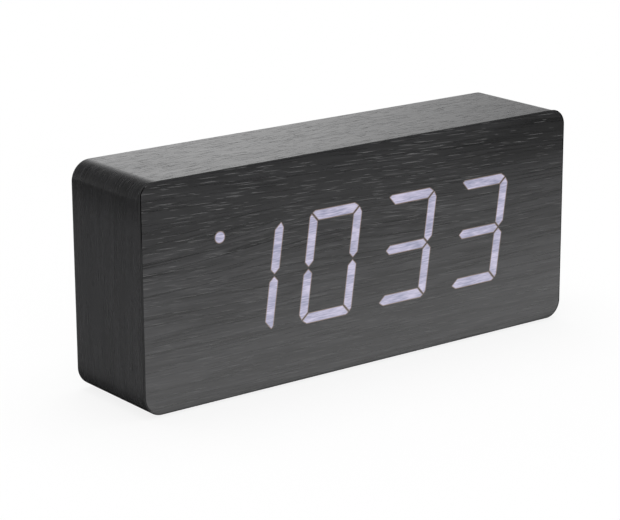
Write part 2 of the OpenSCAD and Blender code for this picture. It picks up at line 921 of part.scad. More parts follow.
// The flat cable leaves one header, bends up, and bends back into the other
module ribbon_cable() {
    start = display_back + header_h;
    finish = control_front - header_h;
    half = (start + finish) / 2;
    low = -ribbon_drop;
    high = ribbon_rise;
    color(grey_plastic)
        across(ribbon_x - ribbon_w / 2, ribbon_x + ribbon_w / 2) {
            translate([start, low - ribbon_t / 2])
                square([half - ribbon_bend - start, ribbon_t]);
            translate([half - ribbon_bend, low + ribbon_bend])
                quarter_bend(ribbon_bend, ribbon_t, 1, -1);
            translate([half - ribbon_t / 2, low + ribbon_bend])
                square([ribbon_t, high - low - 2 * ribbon_bend]);
            translate([half + ribbon_bend, high - ribbon_bend])
                quarter_bend(ribbon_bend, ribbon_t, -1, 1);
            translate([half + ribbon_bend, high - ribbon_t / 2])
                square([finish - half - ribbon_bend, ribbon_t]);
        }
}

// The recess for the door, its ledge, the slots for its tabs and the notch for its tongue
module door_openings() {
    door_mid = (door_low + door_top) / 2;
    slab(door_inside, case_d)
        translate([tray_x, door_mid])
            rounded(door_w + 2 * door_gap, door_top - door_low + 2 * door_gap, door_r + door_gap);
    slab(tray_floor, case_d)
        translate([tray_x, 0])
            square([tray_w, tray_h], center = true);
    for (x = tab_places)
        across(x - tab_w / 2 - tab_gap, x + tab_w / 2 + tab_gap)
            translate([cover_front - past, lip_z])
                square([cover_t + past, slot_top - lip_z]);
    across(tray_x - tongue_w / 2 - tongue_gap, tray_x + tongue_w / 2 + tongue_gap)
        translate([cover_front - past, notch_low])
            square([cover_t + 2 * past, notch_top - notch_low]);
    across(tray_x - door_w / 2 - door_gap + door_r, tray_x + door_w / 2 + door_gap - door_r)
        translate([cover_back - lip_r, lip_z - lip_r])
            difference() {
                square(lip_r + past);
                circle(lip_r);
            }
    translate([tray_x, cover_back - case_d / 2 + scoop_r - scoop_d, mid_z + notch_top + tongue_t])
        sphere(scoop_r);
}

// The moulded cover: its plate, the battery tray, the bosses and every opening
module rear_cover() {
    color(black_plastic)
        difference() {
            union() {
                slab(cover_front, cover_back)
                    rounded(cover_w, cover_h, cover_r);
                slab(tray_floor - tray_wall, cover_front + cover_t / 4)
                    translate([tray_x, 0])
                        square([tray_w + 2 * tray_wall, tray_h + 2 * tray_wall], center = true);
                for (p = boss_places)
                    rod(p, boss_r, control_back, cover_front + cover_t / 4);
            }
            difference() {
                door_openings();
                for (i = [1 : cell_count - 1])
                    across(tray_x - cell_l / 4, tray_x + cell_l / 4)
                        translate([tray_floor - past, (i - cell_count / 2) * cell_pitch - cell_rib_t / 2])
                            square([cell_rib_h + past, cell_rib_t]);
            }
            for (z = [cell_z(0), cell_z(cell_count - 1)])
                translate([tray_x + tray_w / 2 - past, lead_depth - case_d / 2, mid_z + z])
                    rotate([0, 90, 0])
                        cylinder(d = lead_d + 2 * lead_gap, h = tray_wall + 2 * past);
            for (p = boss_places)
                rod(
                    p, board_shank_d / 2 + bite_gap,
                    control_back - past, control_front + board_screw_l + tip_room
                );
            for (p = button_places) {
                rod(p, button_d / 2 + button_gap, cover_front - past, case_d);
                rod(p, dish_d / 2, cover_back - dish_depth, case_d);
            }
            rod(jack_place, jack_d / 2 + jack_gap, cover_front - past, case_d);
            rod(buzzer_place, sound_hole_d / 2, cover_front - past, case_d);
            for (i = [0 : sound_holes - 1])
                rod(
                    buzzer_place + sound_ring_r * [cos(360 * i / sound_holes), sin(360 * i / sound_holes)],
                    sound_hole_d / 2, cover_front - past, case_d
                );
            for (p = cover_screw_places) {
                rod(p, cover_shank_d / 2 + screw_gap, cover_front - past, case_d);
                rod(p, cover_head_d / 2 + screw_gap, cover_back - bore_depth, case_d);
            }
        }
}

module cover_screws() {
    color(steel)
        for (p = cover_screw_places)
            to_back(p, cover_back - bore_depth)
                screw(cover_head_d, cover_head_h, cover_shank_d, cover_screw_l);
}

// A tab at the foot of the door, which reaches behind the lip of the cover
module door_tab() {
    polygon([
        [tab_front, lip_z - tab_reach], [tab_back, lip_z - tab_reach], [tab_back, door_low],
        [cover_back - door_t / 2, door_low], [cover_back - door_t / 2, door_low + tab_web],
        [tab_front, door_low + tab_web]
    ]);
}

// The folded tongue at the head of the door, with the nib that snaps behind the notch
module door_tongue() {
    translate([leg_depth, door_top - tongue_t])
        square([cover_back - door_t / 2 - leg_depth, tongue_t]);
    translate([leg_depth, door_top + tongue_slot])
        square([cover_back - leg_depth, tongue_t]);
    translate([leg_depth, door_top + tongue_slot / 2])
        intersection() {
            difference() {
                circle(tongue_slot / 2 + tongue_t);
                circle(tongue_slot / 2);
            }
            translate([-tongue_slot - tongue_t, -tongue_slot - tongue_t])
                square([tongue_slot + tongue_t, 2 * (tongue_slot + tongue_t)]);
        }
    polygon([
        [cover_front - tab_gap, tongue_top - tongue_t / 2],
        [cover_front - tab_gap, notch_top + nib_reach],
        [cover_front - tab_gap - nib_h / 2, notch_top + nib_reach],
        [cover_front - tab_gap - nib_h, tongue_top],
        [cover_front - tab_gap - nib_h, tongue_top - tongue_t / 2]
    ]);
}

// The battery door tilts out on the rounded lip at its foot
module battery_door() {
    color(black_plastic) {
        slab(door_inside, cover_back)
            translate([tray_x, (door_low + door_top) / 2])
                rounded(door_w, door_top - door_low, door_r);
        for (x = tab_places)
            across(x - tab_w / 2, x + tab_w / 2)
                door_tab();
        across(tray_x - tongue_w / 2, tray_x + tongue_w / 2)
            door_tongue();
        for (i = [1 : 3])
            slab(cover_back - door_t / 2, cover_back + grip_h)
                translate([tray_x, door_top - tongue_t - i * grip_pitch])
                    square([grip_w, grip_pitch / 2], center = true);
    }
}

// One cell: a plain can with a rolled rim, and its button at the far end
module cell(i) {
    rim = cell_d / 20;
    knob_r = cell_d / 5.5;
    knob_h = cell_l / 45;
    color(steel)
        translate([
            tray_x + cell_way(i) * (tray_w / 2 - plate_t - cell_l),
            cell_axis - case_d / 2,
            mid_z + cell_z(i)
        ])
            rotate([0, cell_way(i) * 90, 0])
                rotate_extrude()
                    polygon([
                        [0, 0], [cell_d / 2 - rim, 0], [cell_d / 2, rim],
                        [cell_d / 2, cell_l - knob_h - rim], [cell_d / 2 - rim, cell_l - knob_h],
                        [knob_r, cell_l - knob_h], [knob_r, cell_l], [0, cell_l]
                    ]);
}

module battery_cell_1() {
    cell(0);
}

module battery_cell_2() {
    cell(1);
}

module battery_cell_3() {
    cell(2);
}

module battery_cell_4() {
    cell(3);
}

// One coil spring between each cell's flat end and its plate
module battery_springs() {
    color(steel)
        for (i = [0 : cell_count - 1])
            translate([
                tray_x - cell_way(i) * (tray_w / 2 - plate_t),
                cell_axis - case_d / 2,
                mid_z + cell_z(i)
            ])
                rotate([0, cell_way(i) * 90, 0])
                    polyhedron(
                        wire_points(coil_path, coil_sides, wire_d / 2, wire_sides),
                        wire_faces(len(coil_path), wire_sides)
                    );
}

// Plates at both ends of the tray join the cells in a row, one after another
module battery_plates() {
    color(steel) {
        for (z = [cell_z(0), cell_z(cell_count - 1)])
            plate(1, z, z);
        plate(1, cell_z(1), cell_z(2));
        plate(-1, cell_z(0), cell_z(1));
        plate(-1, cell_z(2), cell_z(3));
    }
}

module plate(side, z_low, z_high) {
    outer = tray_x + side * tray_w / 2;
    across(min(outer, outer - side * plate_t), max(outer, outer - side * plate_t))
        translate([cell_axis - plate_w / 2, z_low - plate_w / 2])
            square([plate_w, z_high - z_low + plate_w]);
}

module lead(path) {
    polyhedron(
        wire_points(path, [for (p = path) [0, 0, 1]], lead_d / 2, lead_sides),
        wire_faces(len(path), lead_sides)
    );
}

module positive_lead() {
    color("firebrick")
        lead(lead_path(cell_z(0), cell_z(0) / 2));
}

module negative_lead() {
    color(rubber)
        lead(lead_path(cell_z(cell_count - 1), cell_z(cell_count - 1) / 2));
}

module control_board() {
    color(board_green)
        difference() {
            slab(control_front, control_back)
                translate([control_x, 0])
                    square([control_w, control_h], center = true);
            for (p = boss_places)
                rod(p, board_shank_d / 2 + screw_gap, control_front - past, control_back + past);
        }
}

module control_screws() {
    color(steel)
        for (p = boss_places)
            to_front(p, control_front)
                screw(board_head_d, board_head_h, board_shank_d, board_screw_l);
}

// The bodies of the three switches, each with the bore of its plunger
module tact_switches() {
    color(grey_plastic)
        for (p = button_places)
            difference() {
                slab(control_back, control_back + switch_h)
                    translate(p)
                        square(switch_w, center = true);
                rod(
                    p, plunger_d / 2 + plunger_gap,
                    control_back + switch_h - plunger_in - 2 * button_travel, case_d
                );
            }
}

module plunger(place) {
    color(rubber)
        rod(place, plunger_d / 2, control_back + switch_h - plunger_in, plunger_top);
}

module set_plunger() {
    plunger(button_places[0]);
}

module up_plunger() {
    plunger(button_places[1]);
}

module down_plunger() {
    plunger(button_places[2]);
}

// A round button with its collar behind the cover and its stem on the plunger
module button(place) {
    top = cover_back + button_proud - plunger_top;
    collar = cover_front - plunger_top;
    color(grey_plastic)
        to_back(place, plunger_top)
            rotate_extrude() {
                polygon([
                    [0, 0], [stem_d / 2, 0], [stem_d / 2, collar - collar_t],
                    [button_d / 2 + collar_w, collar - collar_t], [button_d / 2 + collar_w, collar],
                    [button_d / 2, collar], [button_d / 2, top - button_round],
                    [button_d / 2 - button_round, top - button_round], [button_d / 2 - button_round, top],
                    [0, top]
                ]);
                translate([button_d / 2 - button_round, top - button_round])
                    intersection() {
                        circle(button_round);
                        square(button_round);
                    }
            }
}

module set_button() {
    button(button_places[0]);
}

module up_button() {
    button(button_places[1]);
}

module down_button() {
    button(button_places[2]);
}

// The jack's barrel ends flush with the cover
module power_jack() {
    color(black_plastic)
        difference() {
            union() {
                slab(control_back, control_back + jack_base_h)
                    translate(jack_place)
                        square(jack_base, center = true);
                rod(jack_place, jack_d / 2, control_back, cover_back);
            }
            rod(jack_place, socket_d / 2, control_back + jack_floor, case_d);
        }
}

module jack_pin() {
    tip = pin_d / 2;
    length = cover_back - pin_inset - control_back - jack_floor;
    color(steel)
        to_back(jack_place, control_back + jack_floor)
            rotate_extrude()
                polygon([[0, 0], [pin_d / 2, 0], [pin_d / 2, length - tip], [tip / 2, length], [0, length]]);
}

// The buzzer's can, open in the middle of its top
module buzzer() {
    can_h = boss_h - buzzer_gap;
    color(rubber)
        difference() {
            rod(buzzer_place, buzzer_d / 2, control_back, control_back + can_h);
            rod(buzzer_place, buzzer_d / 10, control_back + can_h / 2, case_d);
        }
}

module feet() {
    rim = foot_t / 3;
    color(rubber)
        for (sx = [-1, 1], sy = [-1, 1])
            translate([sx * (case_w / 2 - foot_inset), sy * (case_d / 2 - foot_inset), 0])
                rotate_extrude()
                    polygon([
                        [0, 0], [foot_d / 2 - rim, 0], [foot_d / 2, rim], [foot_d / 2, foot_t], [0, foot_t]
                    ]);
}

top_board();
bottom_board();
left_board();
right_board();
wrap_veneer();
front_board();
front_veneer();
hour_tens();
hour_units();
minute_tens();
minute_units();
indicator_dot();
diffuser_sheet();
segment_reflector();
display_board();
segment_diodes();
display_screws();
clock_chip();
quartz_crystal();
smoothing_capacitor();
ribbon_headers();
ribbon_cable();
rear_cover();
cover_screws();
battery_door();
battery_cell_1();
battery_cell_2();
battery_cell_3();
battery_cell_4();
battery_springs();
battery_plates();
positive_lead();
negative_lead();
control_board();
control_screws();
tact_switches();
set_button();
up_button();
down_button();
set_plunger();
up_plunger();
down_plunger();
power_jack();
jack_pin();
buzzer();
feet();
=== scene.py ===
"""Looks of a digital alarm clock with a veneered case.

Metres, in the clock's own axes: X runs across it, Y from its front to its back, Z up.
"""

import json
import math

import bmesh
import bpy
from mathutils import Euler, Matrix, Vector
from mathutils.geometry import delaunay_2d_cdt

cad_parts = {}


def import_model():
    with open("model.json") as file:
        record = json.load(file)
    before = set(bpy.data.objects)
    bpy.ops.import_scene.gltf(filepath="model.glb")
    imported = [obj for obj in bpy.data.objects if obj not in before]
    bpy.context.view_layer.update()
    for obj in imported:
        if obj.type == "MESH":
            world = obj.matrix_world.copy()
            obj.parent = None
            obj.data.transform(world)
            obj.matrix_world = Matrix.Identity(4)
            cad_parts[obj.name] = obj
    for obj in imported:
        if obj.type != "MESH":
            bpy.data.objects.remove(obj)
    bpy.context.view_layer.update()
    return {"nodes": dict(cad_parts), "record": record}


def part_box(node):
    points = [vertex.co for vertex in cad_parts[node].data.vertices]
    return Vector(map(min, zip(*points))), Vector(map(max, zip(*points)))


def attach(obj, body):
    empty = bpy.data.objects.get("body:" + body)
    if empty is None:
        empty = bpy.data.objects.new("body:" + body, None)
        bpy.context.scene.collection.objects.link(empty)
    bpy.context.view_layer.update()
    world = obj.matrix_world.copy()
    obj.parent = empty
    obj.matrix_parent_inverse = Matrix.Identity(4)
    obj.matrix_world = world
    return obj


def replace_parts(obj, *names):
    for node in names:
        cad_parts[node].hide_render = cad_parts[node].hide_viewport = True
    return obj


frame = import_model()
NODES = frame["nodes"]

MM = 0.001
HAIR = 0.001 * MM
CASE_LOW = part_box("front_veneer")[0]
CASE_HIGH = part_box("wrap_veneer")[1]
CASE_W = CASE_HIGH.x - CASE_LOW.x
CASE_H = CASE_HIGH.z - CASE_LOW.z
MID_Z = (CASE_LOW.z + CASE_HIGH.z) / 2
VENEER_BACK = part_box("front_veneer")[1].y
VENEER_T = VENEER_BACK - CASE_LOW.y
CORNER_STEPS = 16
SHEET_SPACING = 6 * MM

# The front sheet's edge from its side to its face, in millimetres: how far in, how far behind the face,
# how deep its groove is along the two ends, and the surface of the strip before that point
FACE, SIDE, GROOVE = range(3)
SHEET_EDGE = [
    (0, 0.4, 0, SIDE),
    (0.06, 0.24, 0, SIDE),
    (0.15, 0.15, 0, SIDE),
    (0.3, 0.08, 0, SIDE),
    (0.36, 0.06, 0.25, GROOVE),
    (0.66, 0.02, 0.25, GROOVE),
    (0.72, 0.015, 0, GROOVE),
    (0.78, 0, 0, FACE),
]
# How far from an end the groove begins, and over what length it deepens
GROOVE_START = 4 * MM
GROOVE_RUN = 3 * MM
# How the radii of the sheet's corners differ from its solid: bottom right, top right, top left, bottom left
TRIM = [0.7 * MM, 0.3 * MM, -1.3 * MM, 1.5 * MM]

# The wrap's softened edges
ARRIS = 0.3 * MM
ARRIS_STEPS = 3
WRAP_BANDS = 6

# The lit patches of the front
DIGITS = ["hour_tens", "hour_units", "minute_tens", "minute_units"]
PATCH_ROUND = 0.35 * MM
PATCH_ROUND_LEAST = 0.08 * MM
PATCH_STEPS = 4
DOT_STEPS = 48
GLOW_STEPS = [0, 0.15 * MM, 0.3 * MM, 0.45 * MM]

# The camera, as the photograph was taken
CAMERA_PLACE = (-0.545285, -0.701389, 0.292507)
CAMERA_TURN = (74.0408, 0.2376, -37.4196)
CAMERA_LENS = 134.087
SENSOR_WIDTH = 36

LEFT, RIGHT, FORWARD, BACK = (-1, 0, 0), (1, 0, 0), (0, -1, 0), (0, 1, 0)
# Light: each change runs between two distances and between two strengths, where 1 is white
AMBIENT = (0, 1, 0.45, 1.0)
# The floor as it is seen, by distance from the clock
FLOOR_SIZE = 3
FLOOR_GREY = (0.8, 0.8, 0.8, 1)
FLOOR_WHITE = (0.15, 0.5, 0.85, 1)
# The floor in the clock's gloss: before it, on its two sides, far to its left, at its front, round its foot
POOL_BEFORE = (0.03, 0.32, 1.12, 0.03)
POOL_LEFT = (0.094, 0.112, 1.1, 0.16)
POOL_RIGHT = (0.094, 0.112, 1.1, 0.4)
POOL_AWAY = (0.17, 0.29, 1, 0.5)
POOL_OPEN = (0.022, 0.032, 0, 1.1)
POOL_SHADE = [
    (LEFT, (0.1, 0.125, 0.01, 1)),
    (RIGHT, (0.1, 0.125, 0.01, 1)),
    (FORWARD, (0.022, 0.028, 0.01, 1)),
    (BACK, (0.05, 0.08, 0.01, 1)),
]
# Bright sheets behind and before the clock
BACKDROP_WAY = (0.22, 0.915, -0.33)
BACKDROP = (0.59, 0.79, 0.03, 1.22)
BACKDROP_RIGHT = (0.56, 0.7, 1, 0.58)
FACING_WAY = (0, -0.86, 0.51)
FACING = (0.8, 0.95, 0.05, 0.8)
# Each lamp's name, place, target, size and power, and whether it shows in gloss
LAMPS = [
    ("overhead", (0.1, 0.1, 1.2), (0, 0, 0), 1.2, 12, False),
    ("front_fill", (-0.45, -0.75, 0.4), (0, 0, 0.05), 0.6, 1.6, True),
]


def corner_of(node):
    """The radius of a piece's corners seen from the front, from the top of its straight right side."""
    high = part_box(node)[1]
    side_top = max(v.co.z for v in NODES[node].data.vertices if v.co.x > high.x - HAIR)
    return high.z - side_top


FRONT_CORNER = corner_of("front_veneer")
WRAP_CORNER = corner_of("wrap_veneer")


# Graphs of the surfaces

NOISE_MIDDLE = 0.5
# Places of the two colours that are mixed, and of the mixed one
COLOUR_A, COLOUR_B, COLOUR_MIXED = 6, 7, 2


def bare_tree(owner):
    """An owner's graph, emptied."""
    owner.use_nodes = True
    owner.node_tree.nodes.clear()
    return owner.node_tree


class Graph:
    """The graph of one surface, with short calls for the steps that it needs."""

    def __init__(self, name):
        self.material = bpy.data.materials.new(name)
        self.tree = bare_tree(self.material)
        self.shader = self.node("ShaderNodeBsdfPrincipled")
        output = self.node("ShaderNodeOutputMaterial")
        self.tree.links.new(self.shader.outputs["BSDF"], output.inputs["Surface"])

    def node(self, kind, **settings):
        made = self.tree.nodes.new(kind)
        for key, value in settings.items():
            setattr(made, key, value)
        return made

    def put(self, socket, value):
        """Sets a socket to a number or colour, or links an output to it."""
        if isinstance(value, bpy.types.NodeSocket):
            self.tree.links.new(value, socket)
        else:
            socket.default_value = value

    def set(self, **values):
        """Sets the shader's sockets, named with underscores for spaces."""
        for key, value in values.items():
            self.put(self.shader.inputs[key.replace("_", " ").title().replace("Ior", "IOR")], value)

    def math(self, operation, a, b=0.0, c=0.0, clamp=False):
        made = self.node("ShaderNodeMath", operation=operation, use_clamp=clamp)
        for socket, value in zip(made.inputs, (a, b, c)):
            self.put(socket, value)
        return made.outputs[0]

    def spread(self, value, low, high, to_low=0.0, to_high=1.0):
        """The value's range from low to high, taken smoothly to another range."""
        made = self.node("ShaderNodeMapRange", interpolation_type="SMOOTHSTEP")
        for socket, number in zip(made.inputs, (value, low, high, to_low, to_high)):
            self.put(socket, number)
        return made.outputs[0]

    def point(self, x, y, z=0.0):
        made = self.node("ShaderNodeCombineXYZ")
        for socket, value in zip(made.inputs, (x, y, z)):
            self.put(socket, value)
        return made.outputs[0]

    def parts(self, vector):
        made = self.node("ShaderNodeSeparateXYZ")
        self.put(made.inputs[0], vector)
        return made.outputs

    def place(self):
        """The point on the surface, in metres."""
        return self.node("ShaderNodeTexCoord").outputs["Object"]

    def scaled(self, vector, x, y, z):
        made = self.node("ShaderNodeVectorMath", operation="MULTIPLY")
        self.put(made.inputs[0], vector)
        self.put(made.inputs[1], (x, y, z))
        return made.outputs[0]

    def millimetres(self, vector):
        """The three parts of a point in metres, as millimetres."""
        return self.parts(self.scaled(vector, 1 / MM, 1 / MM, 1 / MM))

    def noise(self, vector, scale=1.0, detail=2.0, roughness=0.5):
        made = self.node("ShaderNodeTexNoise")
        self.put(made.inputs["Vector"], vector)
        self.put(made.inputs["Scale"], scale)
        self.put(made.inputs["Detail"], detail)
        self.put(made.inputs["Roughness"], roughness)
        return made.outputs["Fac"]

    def off_middle(self, noise):
        return self.math("SUBTRACT", noise, NOISE_MIDDLE)

    def drawn_out(self, along, across, size, seed=0.0, detail=2.0, roughness=0.5):
        """Noise drawn out along the grain, in flecks of about that length and width."""
        length, width = size
        spot = self.point(self.math("DIVIDE", along, length), self.math("DIVIDE", across, width), seed)
        return self.noise(spot, detail=detail, roughness=roughness)

    def cells(self, vector):
        """The offset from the nearest of scattered points, and that point's own random numbers."""
        made = self.node("ShaderNodeTexVoronoi", voronoi_dimensions="2D")
        self.put(made.inputs["Vector"], vector)
        self.put(made.inputs["Scale"], 1.0)
        offset = self.node("ShaderNodeVectorMath", operation="SUBTRACT")
        self.put(offset.inputs[0], vector)
        self.put(offset.inputs[1], made.outputs["Position"])
        return self.parts(offset.outputs[0]), self.parts(made.outputs["Color"])

    def mix(self, share, a, b):
        made = self.node("ShaderNodeMix", data_type="RGBA")
        self.put(made.inputs["Factor"], share)
        for place, colour in ((COLOUR_A, a), (COLOUR_B, b)):
            self.put(made.inputs[place], (*colour, 1) if isinstance(colour, tuple) else colour)
        return made.outputs[COLOUR_MIXED]

    def bump(self, height, distance):
        made = self.node("ShaderNodeBump")
        self.put(made.inputs["Height"], height)
        self.put(made.inputs["Distance"], distance)
        self.put(self.shader.inputs["Normal"], made.outputs["Normal"])


# Black-stained oak, in millimetres

DARK_WOOD = (0.009, 0.009, 0.0095)
LIGHT_WOOD = (0.049, 0.049, 0.0515)
PALE_PORES = (0.2, 0.2, 0.202)
DARK_PORES = (0.012, 0.012, 0.0125)
# Length and width of bends in the grain, of streaks, of wobbles in the rings, and of clusters of pores
SWAY_SIZE = (95, 30)
STREAK_SIZE = (40, 0.9)
WOBBLE_SIZE = (90, 9)
CLUSTER_SIZE = (30, 3)
STREAK_SEED, WOBBLE_SEED, CLUSTER_SEED = 3, 8, 12
SWAY = 3.5
# A ring's width, how many rings it can stray, and how it darkens slowly and ends sharply
RING_WIDTH = 11
RING_WOBBLE = 3.2
RING_RISE, RING_END = (0, 0.7), (1, 0.82)
RING_MEAN = 0.4
# How far each row of pores is shifted along and how far half a pore reaches, in lengths of a pore
PORE_STAGGER = 0.382
PORE_REACH, PORE_REACH_SPREAD = 0.25, 0.25
# Where pores crowd, how soft their edges are, and how faint they can be
PORE_CROWD = (0.3, 0.7)
PORE_EDGE = (1, 0.3)
PORE_FAINT = (-0.6, 1)
LONG_SEED, SHORT_SEED = 0, 40
SHORT_LENGTH, SHORT_SPACING, SHORT_SHARE = 0.45, 0.85, 0.5
# What streaks, rings and pores do to the tone, the gloss and the relief
STREAK_TONE, RING_TONE, PORE_TONE = 1.5, 0.25, 0.7
STREAK_GLOSS, PORE_GLOSS = 0.3, 0.6
STREAK_RELIEF = 0.045
LACQUER = 0.8

# Pores: how long they can be, how far apart their rows lie, and the share of a row that half a pore takes
FRONT_PORE = (13, 0.65, 0.15)
WRAP_PORE = (9, 0.8, 0.18)
FRONT_EVENNESS, WRAP_EVENNESS = 0.22, 0.15
# Roughness, colour of the pores and their depth
FRONT_FINISH = (0.3, PALE_PORES, 0.03)
WRAP_FINISH = (0.24, DARK_PORES, 0.02)

# The arch in the front's grain: its middle, half its width and its rise
ARCH_MIDDLE, ARCH_REACH, ARCH_RISE = -17, 45, 4.5
PORE_SLANT = 0.045
# Changes up the front: each runs between two heights and between two values
ARCH_FOOT = (42, 60, 0, 1)
ARCH_HEAD = (80, 64, 0, 1)
FRONT_TILT = (64, 78, 0, 0.05)
FRONT_CROWDING = (40, 74, 0.33, 0.25)
FRONT_PALE = (34, 70, 0.6, 1)
FRONT_OPEN = (44, 72, 0, 1)
FRONT_CONTRAST = (60, 76, 1.4, 0.5)
FRONT_MEAN = (60, 76, 0.58, 0.43)
# Painted shade: a band high on the front whose tone darkens towards the right
SHADE_BAND_FOOT = (60, 82, 0, 1)
SHADE_BAND_HEAD = (96, 82, 0, 1)
SHADE_BAND_TONE = -0.48
# Changes across the front: sparser pores, and the painted shade towards the right
FRONT_SPARSE = (30, 100, 1, 0.55)
SHADE_BAND_SIDE = (10, 100, 0, 1)

# Changes round the wrap, in metres: from the foot of each bend to the end of the case, and with height
WRAP_END = CASE_W / 2
WRAP_BEND = WRAP_END - WRAP_CORNER
WRAP_CROWDING = (WRAP_BEND, WRAP_END, 0.46, 0.1)
WRAP_CONTRAST = (WRAP_BEND, WRAP_END, 0.35, 0.4)
WRAP_OPEN = 0.6
# Painted shade: the wrap's tone darkens towards its foot
WRAP_FOOT_SHADE = (1 * MM, 14 * MM, 0.05, 0.5)
# Painted shade: the wrap's tone darkens on its bends near the top
SHADED_SHOULDER_SIDE = (WRAP_BEND, WRAP_END - WRAP_CORNER / 2, 0, 1)
SHADED_SHOULDER_HEIGHT = (70 * MM, 85 * MM, 0, 1)
SHADED_SHOULDER_TONE = -0.38

# The front sheet's edge and its groove: scale of the fibres, dark and light tone, roughness and shine
EDGE_FIBRES, GROOVE_FIBRES = (300, 9000, 300), (900, 900, 900)
EDGE_TONES = (0.016, 0.016, 0.0165), (0.03, 0.03, 0.031)
GROOVE_TONES = (0.04, 0.04, 0.041), (0.055, 0.055, 0.056)
EDGE_GLOSS, GROOVE_GLOSS = (0.5, 0.3), (0.65, 0.1)
# What fibres do to the gloss and the relief, and between which heights the groove turns black with painted
# shade
FIBRE_GLOSS = 0.2
EDGE_RELIEF = 0.02 * MM
GROOVE_SHADE_HEIGHTS = (62, 72)
PAINTED_SHADE_BLACK = (0.001, 0.001, 0.001)

# Flecks in the lit patches: their length and width, and what they do to the tone
CLOUD_SIZE, CLOUD_SEED, CLOUD_TONE = (10, 5), 21, 1.8
FINE_SIZE, FINE_SEED, FINE_TONE = (5, 0.5), 30, 2.4
DIM_GLOW = (0.26, 0.265, 0.385)
BRIGHT_GLOW = (0.555, 0.52, 0.67)
BROWN_RIM = (0.2, 0.145, 0.12)
RIM_FADE = (0.45, 0.95)


def oak_pores(graph, along, across, pore, seed, share, evenness):
    """Fine dashes along the grain, scattered one to a cell, of which a share is kept."""
    length, spacing, half = pore
    row = graph.math("DIVIDE", across, spacing)
    stagger = graph.math("MULTIPLY_ADD", row, PORE_STAGGER, seed)
    offset, chance = graph.cells(graph.point(graph.math("MULTIPLY_ADD", along, 1 / length, stagger), row))
    cluster = graph.drawn_out(along, across, CLUSTER_SIZE, seed + CLUSTER_SEED, detail=1)
    crowded = graph.spread(cluster, *[limit - evenness for limit in PORE_CROWD])
    kept = graph.math("LESS_THAN", chance[0], graph.math("MULTIPLY", crowded, share))
    reach = graph.math("MULTIPLY_ADD", chance[1], PORE_REACH_SPREAD, PORE_REACH)
    ahead = graph.math("DIVIDE", offset[0], reach)
    aside = graph.math("DIVIDE", offset[1], half)
    from_middle = graph.math("MULTIPLY_ADD", ahead, ahead, graph.math("MULTIPLY", aside, aside))
    dash = graph.math("MULTIPLY", graph.spread(from_middle, *PORE_EDGE), kept)
    return graph.math("MULTIPLY", dash, graph.spread(chance[2], *PORE_FAINT))


def oak_grain(graph, along, across, pore_row, crowding, pore, evenness):
    """Streaks, rings and pores, from a place along and across the grain."""
    sway = graph.drawn_out(along, across, SWAY_SIZE, detail=1)
    bent = graph.math("MULTIPLY_ADD", graph.off_middle(sway), SWAY, across)
    streaks = graph.drawn_out(along, bent, STREAK_SIZE, STREAK_SEED, detail=3, roughness=0.6)
    wobble = graph.drawn_out(along, bent, WOBBLE_SIZE, WOBBLE_SEED, detail=3)
    count = graph.math("MULTIPLY_ADD", wobble, RING_WOBBLE, graph.math("DIVIDE", bent, RING_WIDTH))
    part = graph.math("FRACT", count)
    rings = graph.math("MULTIPLY", graph.spread(part, *RING_RISE), graph.spread(part, *RING_END))
    length, spacing, half = pore
    short = (SHORT_LENGTH * length, SHORT_SPACING * spacing, half)
    fewer = graph.math("MULTIPLY", crowding, SHORT_SHARE)
    long_pores = oak_pores(graph, along, pore_row, pore, LONG_SEED, crowding, evenness)
    short_pores = oak_pores(graph, along, pore_row, short, SHORT_SEED, fewer, evenness)
    return streaks, rings, graph.math("MAXIMUM", long_pores, short_pores)


def finish_oak(graph, grain, contrast, mean, roughness, pore_colour, pore_depth):
    """Colour, gloss and relief under a satin lacquer, which leaves the open pores rough."""
    streaks, rings, pores, open_pores = grain
    streak = graph.off_middle(streaks)
    tone = graph.math("MULTIPLY", streak, STREAK_TONE)
    tone = graph.math("MULTIPLY_ADD", graph.math("SUBTRACT", RING_MEAN, rings), RING_TONE, tone)
    tone = graph.math("MULTIPLY_ADD", tone, contrast, mean, clamp=True)
    wood = graph.mix(tone, DARK_WOOD, LIGHT_WOOD)
    graph.set(base_color=graph.mix(graph.math("MULTIPLY", pores, PORE_TONE), wood, pore_colour))
    gloss = graph.math("MULTIPLY_ADD", streak, STREAK_GLOSS, roughness)
    graph.set(roughness=graph.math("MULTIPLY_ADD", open_pores, PORE_GLOSS, gloss))
    graph.set(specular_ior_level=LACQUER)
    ridges = graph.math("MULTIPLY", graph.math("MULTIPLY", streaks, contrast), STREAK_RELIEF)
    graph.bump(graph.math("MULTIPLY_ADD", open_pores, -pore_depth, ridges), MM)


